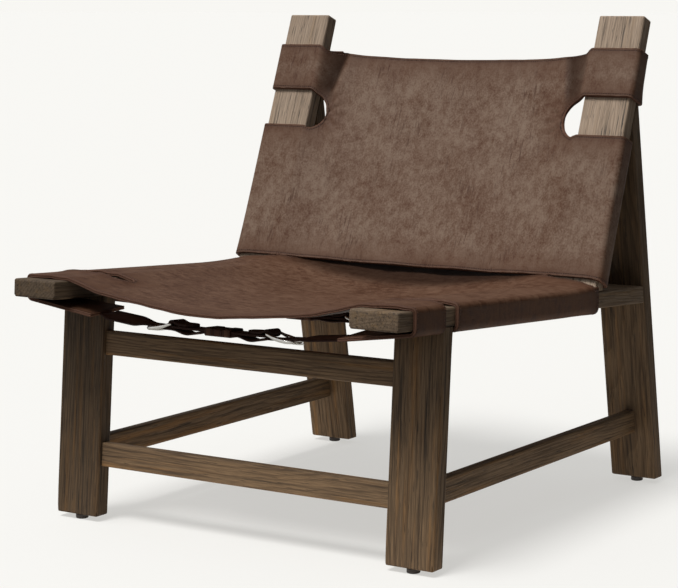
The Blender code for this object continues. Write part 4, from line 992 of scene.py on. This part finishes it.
# Light, middle, dark and golden tone of the posts, the legs with their battens, and the rails.
# The posts' tones are lighter partly as painted light, since they lean up toward the light, and the
# legs' and rails' are darker partly as painted shade; the legs' stain is also browner.
POST_TONES_WITH_PAINTED_LIGHT = (linear(168, 148, 128), linear(136, 118, 100), linear(56, 54, 52), linear(156, 132, 106))
LEG_TONES_WITH_PAINTED_SHADE = (linear(104, 84, 62), linear(68, 54, 40), linear(32, 27, 22), linear(124, 90, 52))
RAIL_TONES_WITH_PAINTED_SHADE = (linear(118, 100, 80), linear(84, 69, 54), linear(40, 35, 30), linear(124, 98, 66))
UP_POST = (0, sin(POST_LEAN), cos(POST_LEAN))
UP_FRONT = (0, sin(FRONT_RAKE), cos(FRONT_RAKE))
UP_REAR = (0, -sin(REAR_RAKE), cos(REAR_RAKE))
DOWN_RAIL = (0, cos(RAIL_SLOPE), -sin(RAIL_SLOPE))
# Board, grain, tones, strength on the left and on the right, brushing. The two strengths draw
# one side's board lighter or darker than the other as painted light and shade.
BOARDS = (
    ("back_post", UP_POST, POST_TONES_WITH_PAINTED_LIGHT, (0.95, 1.01), 1.0),
    ("front_leg", UP_FRONT, LEG_TONES_WITH_PAINTED_SHADE, (0.57, 1.06), 0.8),
    ("rear_leg", UP_REAR, LEG_TONES_WITH_PAINTED_SHADE, (1.05, 0.95), 0.8),
    ("seat_rail", DOWN_RAIL, RAIL_TONES_WITH_PAINTED_SHADE, (0.65, 1.0), 0.9),
    ("side_stretcher", (0, 1, 0), LEG_TONES_WITH_PAINTED_SHADE, (1.0, 1.1), 0.8))
for number, (board, heading, tones, painted_light_shares, brushing) in enumerate(BOARDS):
    for side, sign, strength in (("left", -1, painted_light_shares[0]), ("right", 1, painted_light_shares[1])):
        shift = (0.37 * number + 0.21 * sign, 0.11 * number + 0.05 * sign, 0.07 * number)
        dress_board(board + "_" + side, heading, shift, tones, strength, brushing)
# The battens get the legs' tones made lighter, as painted light
for number, batten in enumerate(("front_stretcher_lower", "front_stretcher_upper",
                                 "rear_crossbar_lower", "rear_crossbar_upper")):
    shift = (0.5 * number, 0.13 * number, 0.09 * number)
    dress_board(batten, (1, 0, 0), shift, LEG_TONES_WITH_PAINTED_SHADE, 1.35, 0.7)

# Glides: a turned foot with a rounded rim and a washer groove, as (radius, height)
GLIDE = np.array([(0.0004, 0.0076), (0.0088, 0.0076), (0.0097, 0.0071), (0.0100, 0.0062),
                  (0.0100, 0.0040), (0.0096, 0.0037), (0.0096, 0.0033), (0.0100, 0.0030),
                  (0.0100, 0.0014), (0.0095, 0.0004), (0.0085, 0.0), (0.0004, 0.0)])[::-1]
for end in ("front", "rear"):
    for side in ("left", "right"):
        node = "glide_" + end + "_" + side
        low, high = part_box(node)
        centre = ((low.x + high.x) / 2, (low.y + high.y) / 2)
        points, quads, caps = turned(GLIDE, centre)
        piece = make(node + "_turned", points, quads, glide_nylon, "frame", "glides", caps)
        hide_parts(node)

# The seat and the back
rear_rows = np.concatenate([spaced(SLOT_REAR, SEAT_END, 0.007), SEAT_END + SIDE_TRAIL * np.array(
    [0.1, 0.3, 0.6, 0.85, 1.0]), spaced(SEAT_END + SIDE_TRAIL, SEAT_END + TONGUE, 0.007)[1:]])
outer = np.concatenate([np.linspace(0.256, SIDE_STATION, 32), spaced(SIDE_STATION, SEAT_REACH, 0.003)[1:]])
grid = notched_grid(spaced(SEAT_FRONT, SLOT_FRONT, 0.005), rear_rows, SLOT, outer, 0.007, TONGUE_HALF)
across, along, kept, edge = whole_grid(grid, seat_outline())
seat = leather_sheet("seat_leather_sheet", seat_point(across, along), across, along, kept, edge,
                     seat_hide, "seat_leather", seat_painted_shade(across, along))
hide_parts("seat_sling")
sewn("seat_seam", seat_point, seat_outline(SEAM), thread, "seat_leather")
outer = np.concatenate([np.linspace(0.276, 0.346, 16), spaced(0.347, BACK_REACH, 0.0035)])
grid = notched_grid(spaced(BACK_LOW, CUT_LOW, 0.006), spaced(CUT_HIGH, BACK_TOP, 0.004), CUT, outer, 0.005)
across, along, kept, edge = whole_grid(grid, back_outline())
back = leather_sheet("back_leather_sheet", back_point(across, along), across, along, kept, edge,
                     back_hide, "back_leather", back_painted_shade(across, along))
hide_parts("back_sling")
sewn("back_seam", back_point, back_outline(SEAM), thread, "back_leather")


def strap_set(name, foot, lean, flap_end, rise, fall):
    """All pieces of one strap set, in the set's own frame and then put in their place."""
    def put(points, turned_round):
        points = points.reshape(-1, 3)
        if turned_round:
            points = points * (-1, -1, 1)
        return in_frame(points[:, 0], points[:, 1], points[:, 2], foot, lean)

    def from_edge(half, profile, points):
        return np.broadcast_to(half - np.abs(profile[:, 0]), points.shape[:2])

    path = upright(rounded(centre_path(), passes=4))
    profile = strap_profile(STRAP_HALF, CENTRE_HALF, 0.0006)
    points, quads, caps = carried(path, profile, (0, 1, 0), widths=strap_ends(path, 0.012, 0.012))
    edge = from_edge(STRAP_HALF, profile, points)
    centre = make(name + "_centre_strap_leather", put(points, False), quads, strap_hide, "frame",
                  "strap_leather", caps, edge)
    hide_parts(name + "_centre_strap")
    # Kind, place along the set, half width, play above the strap, leather and slot
    bands = (("sleeve", 0.0, SLEEVE_HALF, 0.0004, strap_hide, "strap_leather"),
             ("keeper_left", -KEEPER_OFFSET, KEEPER_HALF, 0.0012, keeper_hide, "keeper_leather"),
             ("keeper_right", KEEPER_OFFSET, KEEPER_HALF, 0.0012, keeper_hide, "keeper_leather"))
    for kind, offset, half, play, material, slot_name in bands:
        profile = strap_profile(half, BAND_HALF)
        points, quads, caps = carried(band_path(play) + (offset, 0, 0), profile, (1, 0, 0), ring=True)
        edge = from_edge(half, profile, points)
        band = make(name + "_" + kind + "_band", put(points, False), quads, material, "frame",
                    slot_name, caps, edge)
        if name == "front":
            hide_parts("front_centre_sleeve" if kind == "sleeve" else "front_" + kind)
    for side, around in (("left", True), ("right", False)):
        # The front straps hang more and are twisted between buckle and flap, the left one more
        hang, twist = (0.0055, -0.38 if around else 0.2) if name == "front" else (0.002, 0.0)
        path = upright(rounded(billet_path(flap_end, rise, fall, hang), passes=8))
        profile = strap_profile(STRAP_HALF, BILLET_HALF)
        toe = BAR + BUCKLE + WIRE
        share = np.clip((path[:, 0] - toe) / (flap_end - toe), 0, 1)
        twist = twist * smooth(3 * share) * smooth(7 * (1 - share))
        side_way = np.stack([np.zeros(len(path)), np.cos(twist), np.sin(twist)], axis=-1)
        points, quads, caps = carried(path, profile, side_way, widths=strap_ends(path, 0.012))
        edge = from_edge(STRAP_HALF, profile, points)
        billet = make(name + "_billet_leather_" + side, put(points, around), quads, strap_hide,
                      "frame", "strap_leather", caps, edge)
        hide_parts(name + "_billet_" + side)
        path = rounded(np.concatenate([buckle_path(), buckle_path()[:1]]), 0.0014, 2)[:-1]
        aside = np.cross(unit(np.roll(path, -1, axis=0) - np.roll(path, 1, axis=0)), (0, 0, 1.0))
        # The wire is stouter away from the bar
        stout = 1 + 0.45 * smooth((path[:, :1] - 0.006) / 0.012) * np.ones(2)
        points, quads, caps = carried(path, round_profile(WIRE), aside, ring=True, widths=stout)
        buckle = make(name + "_buckle_wire_" + side, put(points + (BAR, 0, 0), around), quads, nickel,
                      "frame", "buckle_metal", caps)
        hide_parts(name + "_buckle_" + side)
        path = prong_path()
        end = np.clip((line_length(path) - lengths_along(path)) / 0.002, 0.25, 1) ** 0.5
        points, quads, caps = carried(path, round_profile(PRONG, 12), (0, 1, 0),
                                      widths=np.stack([end, end], axis=-1))
        prong = make(name + "_prong_tongue_" + side, put(points + (BAR, 0, 0), around), quads, nickel,
                     name + "_prong_" + side + "_body", "buckle_metal", caps)
        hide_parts(name + "_prong_" + side)


for row in SETS:
    strap_set(*row)


# Floor, light and camera. The two floor colours are set so that the lit floor looks as the
# backdrop does, and the shaded floor keeps the chair's shadow
BACKDROP = (0.939, 0.930, 0.896, 1)
FLOOR_GLOW = (0.545, 0.5395, 0.5198, 1)
FLOOR_SHADED = (0.325, 0.3216, 0.3104, 1)
SOFT_SIDE = (-0.58, -0.50, 0.80)
SHEEN_SIDE = (0.0, -0.8, 0.7)
DIM, BRIGHT, SHEEN = 0.0, 0.56, 0.8
KEY_HEADING, KEY_STRENGTH, KEY_ANGLE = (0.12, 0.52, -1.16), 3.0, radians(22)
PICTURE_WIDTH, PICTURE_HEIGHT = 678, 588


def make_floor():
    """A pale floor that reads as off-white to the camera and keeps the chair's shadow. Close to
    the chair it is lighter and glows warmly toward the chair, as a lit sheet of paper would, and
    from below it is clear."""
    mesh = bpy.data.meshes.new("floor")
    size = 60.0
    mesh.from_pydata([(-size, -size, 0), (size, -size, 0), (size, size, 0), (-size, size, 0)], [],
                     [(0, 1, 2, 3)])
    floor = bpy.data.objects.new("floor", mesh)
    bpy.context.scene.collection.objects.link(floor)
    material = bpy.data.materials.new("floor_paper")
    material.use_nodes = True
    graph = Graph(material.node_tree)
    graph.tree.nodes.clear()
    far = graph.vectors("LENGTH", {0: graph.node("ShaderNodeTexCoord").outputs["Object"]})["Value"]
    paper = graph.mix(graph.span(far, 0.35, 1.0), (0.84, 0.79, 0.72, 1), (0.05, 0.05, 0.05, 1))
    paper = graph.node("ShaderNodeBsdfDiffuse", {"Color": paper}).outputs[0]
    lift = graph.node("ShaderNodeEmission", {
        "Color": (1.0, 0.90, 0.76, 1), "Strength": graph.span(far, 0.25, 0.95, 0.75, 0.0)}).outputs[0]
    shaded = graph.node("ShaderNodeBsdfDiffuse", {"Color": FLOOR_SHADED}).outputs[0]
    glow = graph.node("ShaderNodeEmission", {"Color": FLOOR_GLOW, "Strength": 1.0}).outputs[0]
    clear = graph.node("ShaderNodeBsdfTransparent").outputs[0]
    path = graph.node("ShaderNodeLightPath").outputs
    lit = graph.mix_shader(path["Is Glossy Ray"], graph.add_shader(paper, lift), glow)
    seen = graph.mix_shader(path["Is Camera Ray"], lit, graph.add_shader(shaded, glow))
    behind = graph.node("ShaderNodeNewGeometry").outputs["Backfacing"]
    graph.node("ShaderNodeOutputMaterial", {"Surface": graph.mix_shader(behind, seen, clear)})
    mesh.materials.append(material)


def make_world():
    """Soft light that comes mostly from the front left and above, and little from the right, with
    a broad sheen ahead for glossy surfaces. The camera sees the world as off-white."""
    world = bpy.data.worlds.new("studio")
    bpy.context.scene.world = world
    world.use_nodes = True
    graph = Graph(world.node_tree)
    graph.tree.nodes.clear()
    path = graph.node("ShaderNodeLightPath").outputs
    heading = graph.node("ShaderNodeTexCoord").outputs["Generated"]

    def toward(side):
        return graph.vectors("DOT_PRODUCT", {0: heading, 1: unit(np.array(side)).tolist()})["Value"]

    sheen = graph.maths("MULTIPLY", path["Is Glossy Ray"],
                        graph.span(toward(SHEEN_SIDE), -0.1, 0.5, 0.0, SHEEN))
    strength = graph.maths("MAXIMUM", graph.span(toward(SOFT_SIDE), -0.35, 0.95, DIM, BRIGHT), sheen)
    soft = graph.node("ShaderNodeBackground", {"Color": (0.97, 0.98, 1.0, 1), "Strength": strength})
    white = graph.node("ShaderNodeBackground", {"Color": BACKDROP, "Strength": 1.0})
    graph.node("ShaderNodeOutputWorld", {"Surface": graph.mix_shader(
        path["Is Camera Ray"], soft.outputs[0], white.outputs[0])})


def make_sun(name, heading, strength, angle):
    """A broad lamp far off that shines along a heading."""
    lamp = bpy.data.lights.new(name, "SUN")
    lamp.energy = strength
    lamp.angle = angle
    holder = bpy.data.objects.new(name, lamp)
    holder.rotation_euler = Vector(heading).to_track_quat("-Z", "Y").to_euler()
    bpy.context.scene.collection.objects.link(holder)


def make_camera():
    """The photograph's view: its place, its three turns, and in pixels its focal length and the
    point that it looks at."""
    focal, centre_x, centre_y = 2224.56, 339.085, 233.289
    yaw, pitch, roll = 0.59119, -0.10980, -0.00513
    ahead = Vector((-sin(yaw) * cos(pitch), cos(yaw) * cos(pitch), sin(pitch)))
    right = Vector((cos(yaw), sin(yaw), 0.0))
    up = right.cross(ahead)
    across = right * cos(roll) + up * sin(roll)
    upward = up * cos(roll) - right * sin(roll)
    lens = bpy.data.cameras.new("camera")
    lens.sensor_width = 36.0
    lens.lens = focal * lens.sensor_width / PICTURE_WIDTH
    lens.shift_x = -(centre_x - PICTURE_WIDTH / 2) / PICTURE_WIDTH
    lens.shift_y = (centre_y - PICTURE_HEIGHT / 2) / PICTURE_WIDTH
    lens.clip_end = 200.0
    holder = bpy.data.objects.new("camera", lens)
    turn = Matrix((across, upward, -ahead)).transposed().to_4x4()
    holder.matrix_world = Matrix.Translation((1.95623, -2.95332, 0.83176)) @ turn
    bpy.context.scene.collection.objects.link(holder)
    bpy.context.scene.camera = holder


make_floor()
make_world()
make_sun("key", KEY_HEADING, KEY_STRENGTH, KEY_ANGLE)
make_camera()
bpy.context.scene.view_settings.view_transform = "Standard"
